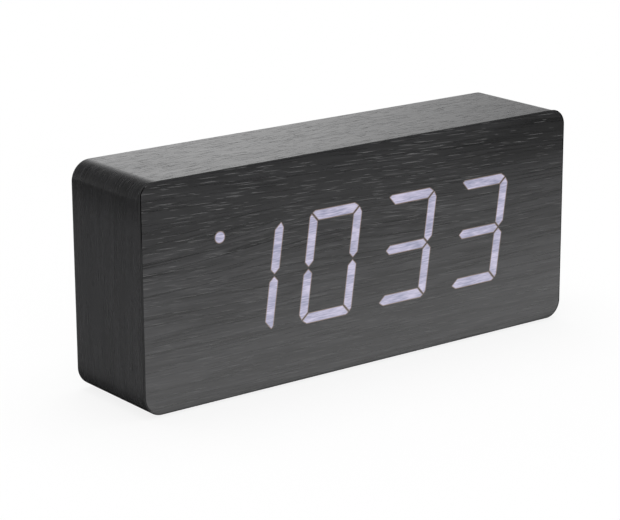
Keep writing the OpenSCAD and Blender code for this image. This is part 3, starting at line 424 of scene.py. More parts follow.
def front_grain(graph):
    """The front sheet's grain: it runs across, arches left of the middle, and opens its pores at the top."""
    x, _, z = graph.millimetres(graph.place())
    from_arch = graph.math("DIVIDE", graph.math("SUBTRACT", x, ARCH_MIDDLE), ARCH_REACH)
    squared = graph.math("MULTIPLY", from_arch, from_arch)
    arch = graph.math("POWER", math.e, graph.math("MULTIPLY", squared, -1))
    height = graph.math("MULTIPLY", graph.spread(z, *ARCH_FOOT), graph.spread(z, *ARCH_HEAD))
    arched = graph.math("MULTIPLY_ADD", graph.math("MULTIPLY", arch, height), -ARCH_RISE, z)
    across = graph.math("ADD", arched, graph.math("MULTIPLY", graph.spread(z, *FRONT_TILT), x))
    pore_row = graph.math("MULTIPLY_ADD", x, PORE_SLANT, z)
    crowding = graph.math("MULTIPLY", graph.spread(z, *FRONT_CROWDING), graph.spread(x, *FRONT_SPARSE))
    streaks, rings, pores = oak_grain(graph, x, across, pore_row, crowding, FRONT_PORE, FRONT_EVENNESS)
    pale_pores = graph.math("MULTIPLY", pores, graph.spread(z, *FRONT_PALE))
    open_pores = graph.math("MULTIPLY", pores, graph.spread(z, *FRONT_OPEN))
    contrast = graph.spread(z, *FRONT_CONTRAST)
    # Painted shade darkens the front's tone in a band towards the top right
    band = graph.math("MULTIPLY", graph.spread(z, *SHADE_BAND_FOOT), graph.spread(z, *SHADE_BAND_HEAD))
    painted_shade = graph.math("MULTIPLY", graph.spread(x, *SHADE_BAND_SIDE), band)
    mean = graph.math("MULTIPLY_ADD", painted_shade, SHADE_BAND_TONE, graph.spread(z, *FRONT_MEAN))
    finish_oak(graph, (streaks, rings, pale_pores, open_pores), contrast, mean, *FRONT_FINISH)


def front_oak():
    graph = Graph("front_oak")
    front_grain(graph)
    return graph.material


def finish_edge(graph, fibres, colour, roughness, shine):
    """Colour, gloss and relief of a bare edge."""
    graph.set(base_color=colour, specular_ior_level=shine)
    graph.set(roughness=graph.math("MULTIPLY_ADD", fibres, FIBRE_GLOSS, roughness))
    graph.bump(fibres, EDGE_RELIEF)
    return graph.material


def oak_edge():
    """The rounded edge of the front sheet, stained like its side."""
    graph = Graph("oak_edge")
    fibres = graph.noise(graph.scaled(graph.place(), *EDGE_FIBRES), detail=3)
    return finish_edge(graph, fibres, graph.mix(fibres, *EDGE_TONES), *EDGE_GLOSS)


def edge_groove():
    """The fine groove at the ends of the front sheet, painted black near the top as shade."""
    graph = Graph("edge_groove")
    fibres = graph.noise(graph.scaled(graph.place(), *GROOVE_FIBRES), detail=3)
    # Painted shade: the groove's colour turns black above a given height
    black = graph.spread(graph.millimetres(graph.place())[2], *GROOVE_SHADE_HEIGHTS)
    colour = graph.mix(black, graph.mix(fibres, *GROOVE_TONES), PAINTED_SHADE_BLACK)
    return finish_edge(graph, fibres, colour, *GROOVE_GLOSS)


def lit_oak():
    """The front sheet where light shines through it: pale flecks, with a thin brown rim."""
    graph = Graph("lit_oak")
    front_grain(graph)
    inside = graph.node("ShaderNodeAttribute", attribute_name="inside").outputs["Fac"]
    x, _, z = graph.millimetres(graph.place())
    clouds = graph.drawn_out(x, z, CLOUD_SIZE, CLOUD_SEED, detail=2)
    fine = graph.drawn_out(x, z, FINE_SIZE, FINE_SEED, detail=3)
    tone = graph.math("MULTIPLY_ADD", graph.off_middle(fine), FINE_TONE, NOISE_MIDDLE)
    tone = graph.math("MULTIPLY_ADD", graph.off_middle(clouds), CLOUD_TONE, tone, clamp=True)
    glow = graph.mix(tone, DIM_GLOW, BRIGHT_GLOW)
    graph.set(emission_color=graph.mix(graph.spread(inside, *RIM_FADE), BROWN_RIM, glow))
    graph.set(emission_strength=1.0)
    return graph.material


def wrap_oak():
    """The strip round the box, whose grain follows its length, with painted shade at its foot and on its
    bends near the top.
    """
    graph = Graph("wrap_oak")
    strip = graph.node("ShaderNodeAttribute", attribute_name="strip").outputs["Vector"]
    along, across, _ = graph.millimetres(strip)
    x, _, height = graph.parts(graph.place())
    x = graph.math("ABSOLUTE", x)
    crowding = graph.spread(x, *WRAP_CROWDING)
    streaks, rings, pores = oak_grain(graph, along, across, across, crowding, WRAP_PORE, WRAP_EVENNESS)
    open_pores = graph.math("MULTIPLY", pores, WRAP_OPEN)
    contrast = graph.spread(x, *WRAP_CONTRAST)
    # Painted shade: darker on the bends near the top and towards the foot
    beside = graph.spread(x, *SHADED_SHOULDER_SIDE)
    shaded_shoulder = graph.math("MULTIPLY", beside, graph.spread(height, *SHADED_SHOULDER_HEIGHT))
    mean = graph.math("MULTIPLY_ADD", shaded_shoulder, SHADED_SHOULDER_TONE, graph.spread(height, *WRAP_FOOT_SHADE))
    finish_oak(graph, (streaks, rings, pores, open_pores), contrast, mean, *WRAP_FINISH)
    return graph.material


# Other materials

# Scale of the slow change of tone in plastic, and what its pebbles do to the gloss
CLOUD_SCALE = 60
PEBBLE_GLOSS = 0.2
# Scale of the drawing marks on metal, and what they do to the gloss and the relief
DRAWN_SCALE = 3000
DRAWN_GLOSS, DRAWN_POLISH = 0.25, 0.12
DRAWN_RELIEF = 0.006 * MM
# Fibreboard: scale of its fibres and specks, their tones, and where specks show
BOARD_FIBRES, SPECK_SCALE = (900, 2600, 2600), 5200
BOARD_TONES = (0.012, 0.011, 0.0105), (0.05, 0.046, 0.043)
SPECK_TONE = (0.09, 0.08, 0.07)
SPECK_SHARE = (0.62, 0.72, 0, 0.6)
BOARD_ROUGHNESS = 0.72
BOARD_RELIEF = 0.08 * MM
# A circuit board: its copper tracks, and the lacquer over them
TRACKS = {"Scale": 260.0, "Mortar Size": 0.12, "Brick Width": 1.7, "Row Height": 0.4}
TRACK_OFFSET = 0.37
TRACK_TONE = (0.03, 0.19, 0.07)
TRACK_RELIEF = 0.03 * MM
GREEN_SCALE = 400
GREEN_TONES = (0.006, 0.075, 0.028), (0.012, 0.11, 0.04)
GREEN_GLOSS, GREEN_ROUGHNESS = 0.2, 0.3


def fibreboard():
    """Dark board of pressed fibres with pale specks."""
    graph = Graph("fibreboard")
    place = graph.place()
    fibres = graph.noise(graph.scaled(place, *BOARD_FIBRES), detail=4, roughness=0.7)
    specks = graph.spread(graph.noise(place, SPECK_SCALE, 2), *SPECK_SHARE)
    graph.set(base_color=graph.mix(specks, graph.mix(fibres, *BOARD_TONES), SPECK_TONE))
    graph.set(roughness=graph.math("MULTIPLY_ADD", fibres, FIBRE_GLOSS, BOARD_ROUGHNESS))
    graph.bump(fibres, BOARD_RELIEF)
    return graph.material


def moulded(name, dark, light, rough, grain=0.35, relief=0.02):
    """Spark-textured plastic: a fine pebble relief and a slow change of tone."""
    graph = Graph(name)
    place = graph.place()
    pebble = graph.noise(place, 1 / (grain * MM), 2)
    cloud = graph.noise(place, CLOUD_SCALE, 3)
    graph.set(base_color=graph.mix(cloud, dark, light))
    graph.set(roughness=graph.math("MULTIPLY_ADD", pebble, PEBBLE_GLOSS, rough - PEBBLE_GLOSS / 2))
    graph.bump(pebble, relief * MM)
    return graph.material


def metal(name, dark, light, rough, stretch=(1, 1, 1)):
    """Bright or blackened metal with fine drawing marks along one axis."""
    graph = Graph(name)
    marks = graph.noise(graph.scaled(graph.place(), *[DRAWN_SCALE * s for s in stretch]), detail=3)
    graph.set(base_color=graph.mix(marks, dark, light), metallic=1.0)
    graph.set(roughness=graph.math("MULTIPLY_ADD", marks, DRAWN_GLOSS, rough - DRAWN_POLISH))
    graph.bump(marks, DRAWN_RELIEF)
    return graph.material


def circuit_board():
    """Green lacquer over copper tracks."""
    graph = Graph("circuit_board")
    x, _, z = graph.parts(graph.place())
    tracks = graph.node("ShaderNodeTexBrick", offset=TRACK_OFFSET)
    graph.put(tracks.inputs["Vector"], graph.point(x, z))
    for key, value in TRACKS.items():
        graph.put(tracks.inputs[key], value)
    cloud = graph.noise(graph.place(), GREEN_SCALE, 2)
    graph.set(base_color=graph.mix(tracks.outputs["Fac"], graph.mix(cloud, *GREEN_TONES), TRACK_TONE))
    graph.set(roughness=graph.math("MULTIPLY_ADD", cloud, GREEN_GLOSS, GREEN_ROUGHNESS))
    graph.bump(tracks.outputs["Fac"], TRACK_RELIEF)
    return graph.material


# Dark tone, light tone, roughness, and the width and height of the pebbles in millimetres
PLASTICS = {
    "diffuser": ((0.8, 0.8, 0.8), (0.86, 0.86, 0.86), 0.6),
    "white_plastic": ((0.72, 0.72, 0.7), (0.8, 0.8, 0.78), 0.5),
    "diode": ((0.75, 0.72, 0.5), (0.85, 0.82, 0.6), 0.25),
    "chip": ((0.012, 0.012, 0.013), (0.02, 0.02, 0.021), 0.5, 0.2),
    "ribbon": ((0.26, 0.27, 0.29), (0.32, 0.33, 0.35), 0.5),
    "black_plastic": ((0.015, 0.015, 0.0155), (0.03, 0.03, 0.0305), 0.5, 0.7, 0.07),
    "button_plastic": ((0.035, 0.035, 0.0355), (0.045, 0.045, 0.046), 0.42, 0.25, 0.01),
    "red_lead": ((0.3, 0.01, 0.008), (0.4, 0.014, 0.01), 0.4),
    "black_lead": ((0.01, 0.01, 0.01), (0.016, 0.016, 0.016), 0.4),
    "foot_rubber": ((0.01, 0.01, 0.01), (0.02, 0.02, 0.02), 0.8, 0.5, 0.04),
    "cell_sleeve": ((0.03, 0.031, 0.033), (0.04, 0.041, 0.043), 0.3, 0.6, 0.006),
    "cell_ring": ((0.5, 0.5, 0.49), (0.58, 0.58, 0.57), 0.5),
    "mark_paint": ((0.36, 0.36, 0.355), (0.43, 0.43, 0.425), 0.5, 0.3, 0.008),
}
# Dark tone, light tone, roughness, and how the drawing marks are scaled along each axis
METALS = {
    "steel": ((0.5, 0.5, 0.52), (0.66, 0.66, 0.67), 0.32),
    "black_steel": ((0.03, 0.03, 0.032), (0.06, 0.06, 0.062), 0.42),
    "cell": ((0.3, 0.31, 0.33), (0.4, 0.41, 0.43), 0.35, (0.1, 1, 1)),
    "cell_band": ((0.34, 0.33, 0.31), (0.42, 0.41, 0.39), 0.3, (0.1, 1, 1)),
}
MATERIALS = {"fibreboard": fibreboard(), "circuit_board": circuit_board()}
MATERIALS.update({name: moulded(name, *values) for name, values in PLASTICS.items()})
MATERIALS.update({name: metal(name, *values) for name, values in METALS.items()})


# Meshes

SHARP_ANGLE = math.radians(50)
# The most of a side that a rounded corner may take
LONGEST_REACH = 0.45
# How clear of its edge and of its holes a sheet's inner points lie
EDGE_MARGIN, HOLE_MARGIN = SHEET_SPACING / 2, SHEET_SPACING / 5
INSIDE_ONLY = 1
SAME_POINT = 1e-9


def add_object(name, data):
    piece = bpy.data.objects.new(name, data)
    bpy.context.scene.collection.objects.link(piece)
    return piece


def keep_flat(piece):
    """Keeps flat faces flat beside rounded edges."""
    flat = piece.modifiers.new("flat_faces", "WEIGHTED_NORMAL")
    flat.keep_sharp = True


def add_mesh(name, mesh, *materials):
    """A new piece with smooth curves and sharp edges."""
    bmesh.ops.recalc_face_normals(mesh, faces=mesh.faces)
    data = bpy.data.meshes.new(name)
    mesh.to_mesh(data)
    mesh.free()
    for material in materials:
        data.materials.append(material)
    data.shade_smooth()
    data.set_sharp_from_angle(angle=SHARP_ANGLE)
    piece = add_object(name, data)
    keep_flat(piece)
    return piece


def solids_of(node):
    """The separate solids of a piece, from left to right, each as a list of its points."""
    mesh = bmesh.new()
    mesh.from_mesh(NODES[node].data)
    bmesh.ops.remove_doubles(mesh, verts=mesh.verts, dist=HAIR)
    mesh.verts.ensure_lookup_table()
    seen = set()
    solids = []
    for first in mesh.verts:
        if first.index in seen:
            continue
        seen.add(first.index)
        group = [first]
        for vert in group:
            for edge in vert.link_edges:
                other = edge.other_vert(vert)
                if other.index not in seen:
                    seen.add(other.index)
                    group.append(other)
        solids.append([vert.co.copy() for vert in group])
    mesh.free()
    return sorted(solids, key=lambda points: sum(p.x for p in points) / len(points))


def front_outline(points):
    """The corners of a convex solid's front face, as X and Z, in order round its middle."""
    near = min(p.y for p in points)
    face = [Vector((p.x, p.z)) for p in points if p.y < near + 10 * HAIR]
    middle = sum(face, Vector((0, 0))) / len(face)
    return sorted(face, key=lambda p: math.atan2(p.y - middle.y, p.x - middle.x))


def inset(outline, distance):
    """A convex outline, anticlockwise, moved inwards by a distance."""
    count = len(outline)
    moved = []
    for i, corner in enumerate(outline):
        before = (corner - outline[i - 1]).normalized()
        after = (outline[(i + 1) % count] - corner).normalized()
        inward = Vector((-before.y, before.x)) + Vector((-after.y, after.x))
        moved.append(corner + inward * (2 * distance / inward.length_squared))
    return moved


def round_corners(outline, radius, steps):
    """An outline whose corners are small arcs of about that radius."""
    count = len(outline)
    points = []
    for i, corner in enumerate(outline):
        to_before = outline[i - 1] - corner
        to_after = outline[(i + 1) % count] - corner
        half = to_before.angle(to_after) / 2
        longest = LONGEST_REACH * min(to_before.length, to_after.length)
        reach = min(radius / math.tan(half), longest)
        start = corner + to_before.normalized() * reach
        end = corner + to_after.normalized() * reach
        for k in range(steps + 1):
            t = k / steps
            points.append(start * (1 - t) ** 2 + corner * 2 * t * (1 - t) + end * t**2)
    return points


def circle(middle, radius, steps):
    turns = [2 * math.pi * k / steps for k in range(steps)]
    return [middle + radius * Vector((math.cos(a), math.sin(a))) for a in turns]


def case_outline(corners, shrink):
    """The case's outline from the front, anticlockwise from the bottom middle, drawn in by some distance.

    The corners are the radii at the bottom right, top right, top left and bottom left.
    """
    points = [Vector((0, CASE_LOW.z + shrink))]
    for turn, (sx, sz) in enumerate([(1, -1), (1, 1), (-1, 1), (-1, -1)]):
        corner = corners[turn]
        middle = Vector((sx * (CASE_W / 2 - corner), MID_Z + sz * (CASE_H / 2 - corner)))
        for k in range(CORNER_STEPS + 1):
            angle = math.pi / 2 * (turn - 1 + k / CORNER_STEPS)
            points.append(middle + (corner - shrink) * Vector((math.cos(angle), math.sin(angle))))
    filled = []
    for i, start in enumerate(points):
        end = points[(i + 1) % len(points)]
        pieces = max(1, round((end - start).length / SHEET_SPACING))
        filled += [start.lerp(end, k / pieces) for k in range(pieces)]
    return filled


def holds(outline, point):
    """Whether a convex outline, anticlockwise, holds a point."""
    sides = zip(outline, outline[1:] + outline[:1])
    return all((end - start).cross(point - start) > 0 for start, end in sides)


def fill(loops):
    """A sheet between an outer loop and those in it, as points, triangles and each loop's indices."""
    points = [p for loop in loops for p in loop]
    edges = []
    starts = []
    for loop in loops:
        first = len(edges)
        starts.append(first)
        edges += [(first + i, first + (i + 1) % len(loop)) for i in range(len(loop))]
    outer, holes = loops[0], loops[1:]
    core = inset(outer, EDGE_MARGIN)
    grown = [inset(hole, -HOLE_MARGIN) for hole in holes]
    low = Vector((min(p.x for p in outer), min(p.y for p in outer)))
    high = Vector((max(p.x for p in outer), max(p.y for p in outer)))
    columns, rows = [int(length / SHEET_SPACING) for length in high - low]
    for i in range(1, columns + 1):
        for j in range(1, rows + 1):
            spot = low + Vector((i, j)) * SHEET_SPACING
            if holds(core, spot) and not any(holds(hole, spot) for hole in grown):
                points.append(spot)
    made, _, faces, origins, _, _ = delaunay_2d_cdt(points, edges, [], INSIDE_ONLY, SAME_POINT)
    place_of = {source: i for i, sources in enumerate(origins) for source in sources}
    kept = []
    for face in faces:
        middle = sum((made[i] for i in face), Vector((0, 0))) / len(face)
        if not any(holds(hole, middle) for hole in holes):
            kept.append(face)
    rings = [[place_of[start + i] for i in range(len(loop))] for start, loop in zip(starts, loops)]
    return made, kept, rings


def stitch(mesh, ring_a, ring_b):
    """Faces between two closed rings of as many vertices."""
    count = len(ring_a)
    return [
        mesh.faces.new((ring_a[i], ring_a[(i + 1) % count], ring_b[(i + 1) % count], ring_b[i]))
        for i in range(count)
    ]


def loft(mesh, rings):
    """A closed skin through a stack of rings, with a face at each end."""
    for a, b in zip(rings, rings[1:]):
        stitch(mesh, a, b)
    mesh.faces.new(rings[0])
    mesh.faces.new(rings[-1])


def ring(mesh, outline, depth):
    return [mesh.verts.new((p.x, depth, p.y)) for p in outline]


# Front sheet and its lit patches


def patch_rings(points):
    """A lit patch's rounded outline, and the narrower ones inside its rim."""
    outline = front_outline(points)
    return [
        round_corners(inset(outline, step), max(PATCH_ROUND - step, PATCH_ROUND_LEAST), PATCH_STEPS)
        for step in GLOW_STEPS
    ]


def dot_rings():
    low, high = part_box("indicator_dot")
    middle = Vector(((low.x + high.x) / 2, (low.z + high.z) / 2))
    radius = (high.x - low.x) / 2
    return [circle(middle, radius - step, DOT_STEPS) for step in GLOW_STEPS]


def lit_patches(name, ring_sets, material):
    """Patches of the front sheet that glow, with how far inside the rim each point lies."""
    mesh = bmesh.new()
    inside = mesh.verts.layers.float.new("inside")
    for outlines in ring_sets:
        back = ring(mesh, outlines[0], VENEER_BACK)
        rings = [ring(mesh, outline, CASE_LOW.y) for outline in outlines]
        for step, verts in zip(GLOW_STEPS, rings):
            for vert in verts:
                vert[inside] = step / GLOW_STEPS[-1]
        loft(mesh, [back, *rings])
    piece = add_mesh(name, mesh, material)
    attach(piece, "case")
    return piece


def end_share(x):
    """0 along the front, rising to 1 at its left and right ends."""
    return min(max((abs(x) - CASE_W / 2 + GROOVE_START) / GROOVE_RUN, 0), 1)


def front_sheet(holes):
    """The veneer sheet with a rounded and grooved edge, open where the lit patches lie in it."""
    front = CASE_LOW.y
    corners = [FRONT_CORNER + trim for trim in TRIM]
    mesh = bmesh.new()
    back_edge = ring(mesh, case_outline(corners, 0), VENEER_BACK)
    last = back_edge
    for shrink, depth, groove, surface in SHEET_EDGE:
        outline = case_outline(corners, shrink * MM)
        verts = ring(mesh, outline, front + depth * MM)
        for vert in verts:
            vert.co.y += groove * MM * end_share(vert.co.x)
        for face in stitch(mesh, last, verts):
            at_end = end_share(face.calc_center_median().x) > 0.5
            face.material_index = surface if at_end or surface == SIDE else FACE
        last = verts
    made, faces, loops = fill([outline, *holes])
    sheets = []
    for depth in (front, VENEER_BACK):
        verts = ring(mesh, made, depth)
        for face in faces:
            mesh.faces.new([verts[i] for i in face])
        sheets.append(verts)
    for loop in loops[1:]:
        stitch(mesh, [sheets[0][i] for i in loop], [sheets[1][i] for i in loop])
    stitch(mesh, back_edge, [sheets[1][i] for i in loops[0]])
    bmesh.ops.remove_doubles(mesh, verts=mesh.verts, dist=HAIR)
    piece = add_mesh("front_sheet", mesh, front_oak(), oak_edge(), edge_groove())
    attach(piece, "case")
    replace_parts(piece, "front_veneer")


def wrap_strip():
    """The veneer round the box, with a softened edge at the front joint and at the back."""
    first, last = VENEER_BACK, CASE_HIGH.y
    turns = [math.pi / 2 * k / ARRIS_STEPS for k in range(ARRIS_STEPS + 1)]
    section = [(VENEER_T, first)]
    section += [(ARRIS * (1 - math.sin(a)), first + ARRIS * (1 - math.cos(a))) for a in turns]
    section += [(0, first + (last - first) * k / WRAP_BANDS) for k in range(1, WRAP_BANDS)]
    section += [(ARRIS * (1 - math.cos(a)), last - ARRIS * (1 - math.sin(a))) for a in turns]
    section += [(VENEER_T, last)]
    mesh = bmesh.new()
    strip = mesh.loops.layers.float_vector.new("strip")
    corners = [WRAP_CORNER] * 4
    outer = case_outline(corners, 0)
    rings = [ring(mesh, case_outline(corners, shrink), depth) for shrink, depth in section]
    travel = [0]
    for start, end in zip(outer, outer[1:] + outer[:1]):
        travel.append(travel[-1] + (end - start).length)
    count = len(outer)
    for a, b in zip(rings, rings[1:] + rings[:1]):
        for i, face in enumerate(stitch(mesh, a, b)):
            places = {a[i]: i, b[i]: i, a[(i + 1) % count]: i + 1, b[(i + 1) % count]: i + 1}
            for loop in face.loops:
                loop[strip] = (travel[places[loop.vert]], loop.vert.co.y, 0)
    piece = add_mesh("wrap_strip", mesh, wrap_oak())
    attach(piece, "case")
    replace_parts(piece, "wrap_veneer")


def front_and_wrap():
    glow = lit_oak()
    holes = []
    for digit in DIGITS:
        ring_sets = [patch_rings(points) for points in solids_of(digit)]
        holes += [rings[0] for rings in ring_sets]
        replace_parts(lit_patches("lit_" + digit, ring_sets, glow), digit)
    dot = dot_rings()
    holes.append(dot[0])
    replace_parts(lit_patches("lit_dot", [dot], glow), "indicator_dot")
    front_sheet(holes)
    wrap_strip()


front_and_wrap()


# Pieces that keep their shape

# Width of the softened edges, in millimetres
SOFT_EDGES = {
    "rear_cover": 0.3,
    "battery_door": 0.3,
    "set_button": 0.5,
    "up_button": 0.5,
    "down_button": 0.5,
    "power_jack": 0.25,
    "jack_pin": 0.3,
    "cover_screws": 0.2,
    "feet": 0.25,
    "battery_plates": 0.12,
}
SOFT_ANGLE = math.radians(40)


def soften(node, width):
    """Rounds a piece's sharp edges by a small width."""
    piece = NODES[node]
    weld = piece.modifiers.new("weld", "WELD")
    weld.merge_threshold = 2 * HAIR
    bevel = piece.modifiers.new("soft_edges", "BEVEL")
    bevel.width = width
    bevel.segments = 2
    bevel.limit_method = "ANGLE"
    bevel.angle_limit = SOFT_ANGLE
    bevel.use_clamp_overlap = True
    keep_flat(piece)


for part in frame["record"]["subparts"]:
    finish = MATERIALS.get(part["material_slot"])
    if finish:
        data = NODES[part["node"]].data
        data.materials.clear()
        data.materials.append(finish)
for node, width in SOFT_EDGES.items():
    soften(node, width * MM)


# Cells and springs

CELL_NODES = ["battery_cell_1", "battery_cell_2", "battery_cell_3", "battery_cell_4"]
CELL_SLEEVE, CELL_BAND, CELL_STEEL, CELL_RING = range(4)
CELL_MATERIALS = [MATERIALS[name] for name in ("cell_sleeve", "cell_band", "steel", "cell_ring")]
# A cell from its flat end to its knob: millimetres along, radius, and the surface of the band before it
CELL_PROFILE = [
    (0.12, 0.0, CELL_STEEL),
    (0.12, 3.1, CELL_STEEL),
    (0.0, 3.3, CELL_STEEL),
    (0.0, 4.0, CELL_STEEL),
    (0.18, 4.25, CELL_STEEL),
    (0.18, 4.5, CELL_RING),
    (0.02, 4.62, CELL_SLEEVE),
    (0.08, 4.85, CELL_SLEEVE),
    (0.25, 5.08, CELL_SLEEVE),
    (0.5, 5.2, CELL_SLEEVE),
    (1.2, 5.25, CELL_SLEEVE),
    (33.9, 5.25, CELL_SLEEVE),
    (34.1, 5.25, CELL_STEEL),
    (42.2, 5.25, CELL_BAND),
    (42.9, 5.2, CELL_BAND),
    (43.2, 5.08, CELL_BAND),
    (43.42, 4.8, CELL_BAND),
    (43.48, 4.55, CELL_BAND),
    (43.3, 4.4, CELL_BAND),
    (43.2, 4.2, CELL_RING),
    (43.2, 3.2, CELL_RING),
    (43.3, 3.1, CELL_STEEL),
    (43.45, 2.6, CELL_STEEL),
    (43.52, 2.05, CELL_STEEL),
    (43.7, 1.93, CELL_STEEL),
    (44.2, 1.88, CELL_STEEL),
    (44.42, 1.75, CELL_STEEL),
    (44.5, 1.45, CELL_STEEL),
    (44.5, 0.0, CELL_STEEL),
]
CELL_STEPS = 64
SPRING_TURNS = 3
TURN_STEPS = 32
SPRING_BASE, SPRING_TIP = 3.6 * MM, 2.6 * MM
WIRE = 0.6 * MM
WIRE_SIDES = 12


def sleeved_cell(name, place, way):
    """A cell turned round an axis along X, from the middle of its flat end."""
    mesh = bmesh.new()
    last = None
    for along, radius, index in CELL_PROFILE:
        x = place.x + way * along * MM
        if radius == 0:
            verts = [mesh.verts.new((x, place.y, place.z))]
        else:
            verts = [mesh.verts.new((x, *p)) for p in circle(place.yz, radius * MM, CELL_STEPS)]
        if last:
            one, many = sorted((last, verts), key=len)
            if len(one) == 1:
                fan = zip(many, many[1:] + many[:1])
                made = [mesh.faces.new((one[0], a, b)) for a, b in fan]
            else:
                made = stitch(mesh, last, verts)
            for face in made:
                face.material_index = index
        last = verts
    return add_mesh(name, mesh, *CELL_MATERIALS)


def swept(mesh, path, radius, sides):
    """A round wire along a path."""
    count = len(path)
    turns = [2 * math.pi * k / sides for k in range(sides)]
    rings = []
    side = None
    for i, point in enumerate(path):
        ahead = (path[min(i + 1, count - 1)] - path[max(i - 1, 0)]).normalized()
        if side is None:
            side = ahead.orthogonal().normalized()
        side = (side - ahead * side.dot(ahead)).normalized()
        other = ahead.cross(side)
        spokes = [side * math.cos(a) + other * math.sin(a) for a in turns]
        rings.append([mesh.verts.new(point + radius * spoke) for spoke in spokes])
    loft(mesh, rings)


def coil_path(start, way, length):
    """A cone-shaped coil along X from its plate to its cell, with straight ends one wire long."""
    steps = TURN_STEPS * SPRING_TURNS
    path = []
    for k in range(steps + 1):
        angle = 2 * math.pi * k / TURN_STEPS
        radius = SPRING_BASE + (SPRING_TIP - SPRING_BASE) * k / steps
        along = WIRE + (length - 2 * WIRE) * k / steps
        path.append(start + Vector((way * along, radius * math.sin(angle), -way * radius * math.cos(angle))))
    first, last = path[0], path[-1]
    ends = [Vector((start.x, first.y, first.z)), Vector((start.x + way * length, last.y, last.z))]
    return [ends[0], *path, ends[1]]


def middle_of(node):
    low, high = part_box(node)
    return (low + high) / 2


def cells_and_springs():
    """Four sleeved cells, each held by a coil at its flat end."""
    spring_places = [sum(points, Vector()) / len(points) for points in solids_of("battery_springs")]
    springs_low, springs_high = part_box("battery_springs")
    coils = bmesh.new()
    for node in CELL_NODES:
        low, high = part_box(node)
        middle = middle_of(node)
        spring = min(spring_places, key=lambda place: abs(place.z - middle.z))
        way = 1 if spring.x < middle.x else -1
        flat_end = Vector((low.x if way == 1 else high.x, middle.y, middle.z))
        cell = sleeved_cell("sleeved_" + node, flat_end, way)
        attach(cell, "case")
        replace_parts(cell, node)
        length = abs(flat_end.x - (springs_low.x if way == 1 else springs_high.x))
        plate = flat_end - Vector((way * length, 0, 0))
        swept(coils, coil_path(plate, way, length), WIRE / 2, WIRE_SIDES)
    piece = add_mesh("coil_springs", coils, MATERIALS["steel"])
    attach(piece, "case")
    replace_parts(piece, "battery_springs")


cells_and_springs()


# Raised marks by the buttons and on the battery door

TRIANGLE = [(-1.7, -1.3), (1.7, -1.3), (0, 1.6)]
TRIANGLE_ROUND = 0.3 * MM
TRIANGLE_STEPS = 4
DISC_RADIUS = 1.3 * MM
DISC_STEPS = 40
# How far a mark stands above its button's middle, and the door's mark below the door's top
MARK_RISE = 9.5 * MM
MARK_DROP = 18 * MM
# How deep a mark is seated, and the heights of its side and of its chamfered top
MARK_SEAT, MARK_SIDE, MARK_TOP = 0.05 * MM, 0.12 * MM, 0.2 * MM
MARK_CHAMFER = 0.1 * MM


def triangle(x, z, way):
    """A small arrow head that points up or down, with rounded corners."""
    corners = [Vector((x + px * MM, z + way * pz * MM)) for px, pz in TRIANGLE]
    return round_corners(corners if way == 1 else corners[::-1], TRIANGLE_ROUND, TRIANGLE_STEPS)


def raised_mark(name, outline, face, body):
    """A low pad with a chamfered rim, on a face that looks backwards."""
    mesh = bmesh.new()
    rings = [
        ring(mesh, outline, face - MARK_SEAT),
        ring(mesh, outline, face + MARK_SIDE),
        ring(mesh, inset(outline, MARK_CHAMFER), face + MARK_TOP),
    ]
    loft(mesh, rings)
    piece = add_mesh(name, mesh, MATERIALS["mark_paint"])
    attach(piece, body)


def raised_marks():
    """Arrows over the up and down buttons and on the door, and a dot over the set button."""
    cover_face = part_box("rear_cover")[1].y
    for button, way in (("up_button", 1), ("down_button", -1)):
        place = middle_of(button)
        raised_mark("mark_of_" + button, triangle(place.x, place.z + MARK_RISE, way), cover_face, "case")
    place = middle_of("set_button")
    dot = circle(Vector((place.x, place.z + MARK_RISE)), DISC_RADIUS, DISC_STEPS)
    raised_mark("mark_of_set_button", dot, cover_face, "case")
    door_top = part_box("battery_door")[1].z
    arrow = triangle(middle_of("battery_door").x, door_top - MARK_DROP, 1)
    raised_mark("mark_of_door", arrow, cover_face, "battery_door")


raised_marks()


# Stage, light and camera

IN_GLOSS = ("Is Glossy Ray", "Is Transmission Ray")
WHITE = (1, 1, 1, 1)


def combine(tree, operation, first, *others):
    """One value from several, joined two at a time."""
    for other in others:
        made = tree.nodes.new("ShaderNodeMath")
        made.operation = operation
        tree.links.new(first, made.inputs[0])
        tree.links.new(other, made.inputs[1])
        first = made.outputs[0]
    return first


def path_share(tree, *kinds):
    """1 for a ray of any of these kinds, and 0 for the rest."""
    path = tree.nodes.new("ShaderNodeLightPath")
    return combine(tree, "MAXIMUM", *[path.outputs[kind] for kind in kinds])


def mix_shaders(tree, share, a, b):
    mix = tree.nodes.new("ShaderNodeMixShader")
    tree.links.new(share, mix.inputs[0])
    tree.links.new(a.outputs[0], mix.inputs[1])
    tree.links.new(b.outputs[0], mix.inputs[2])
    return mix


def ramp(tree, value, low, high, to_low, to_high):
    """A smooth change of strength as a value goes from low to high."""
    made = tree.nodes.new("ShaderNodeMapRange")
    made.interpolation_type = "SMOOTHSTEP"
    tree.links.new(value, made.inputs[0])
    for socket, number in zip(list(made.inputs)[1:5], (low, high, to_low, to_high)):
        socket.default_value = number
    return made.outputs[0]


def slope(tree, vector, direction, low, high, to_low, to_high):
    """A smooth change of strength along a direction."""
    along = tree.nodes.new("ShaderNodeVectorMath")
    along.operation = "DOT_PRODUCT"
    tree.links.new(vector, along.inputs[0])
    along.inputs[1].default_value = direction
    return ramp(tree, along.outputs["Value"], low, high, to_low, to_high)


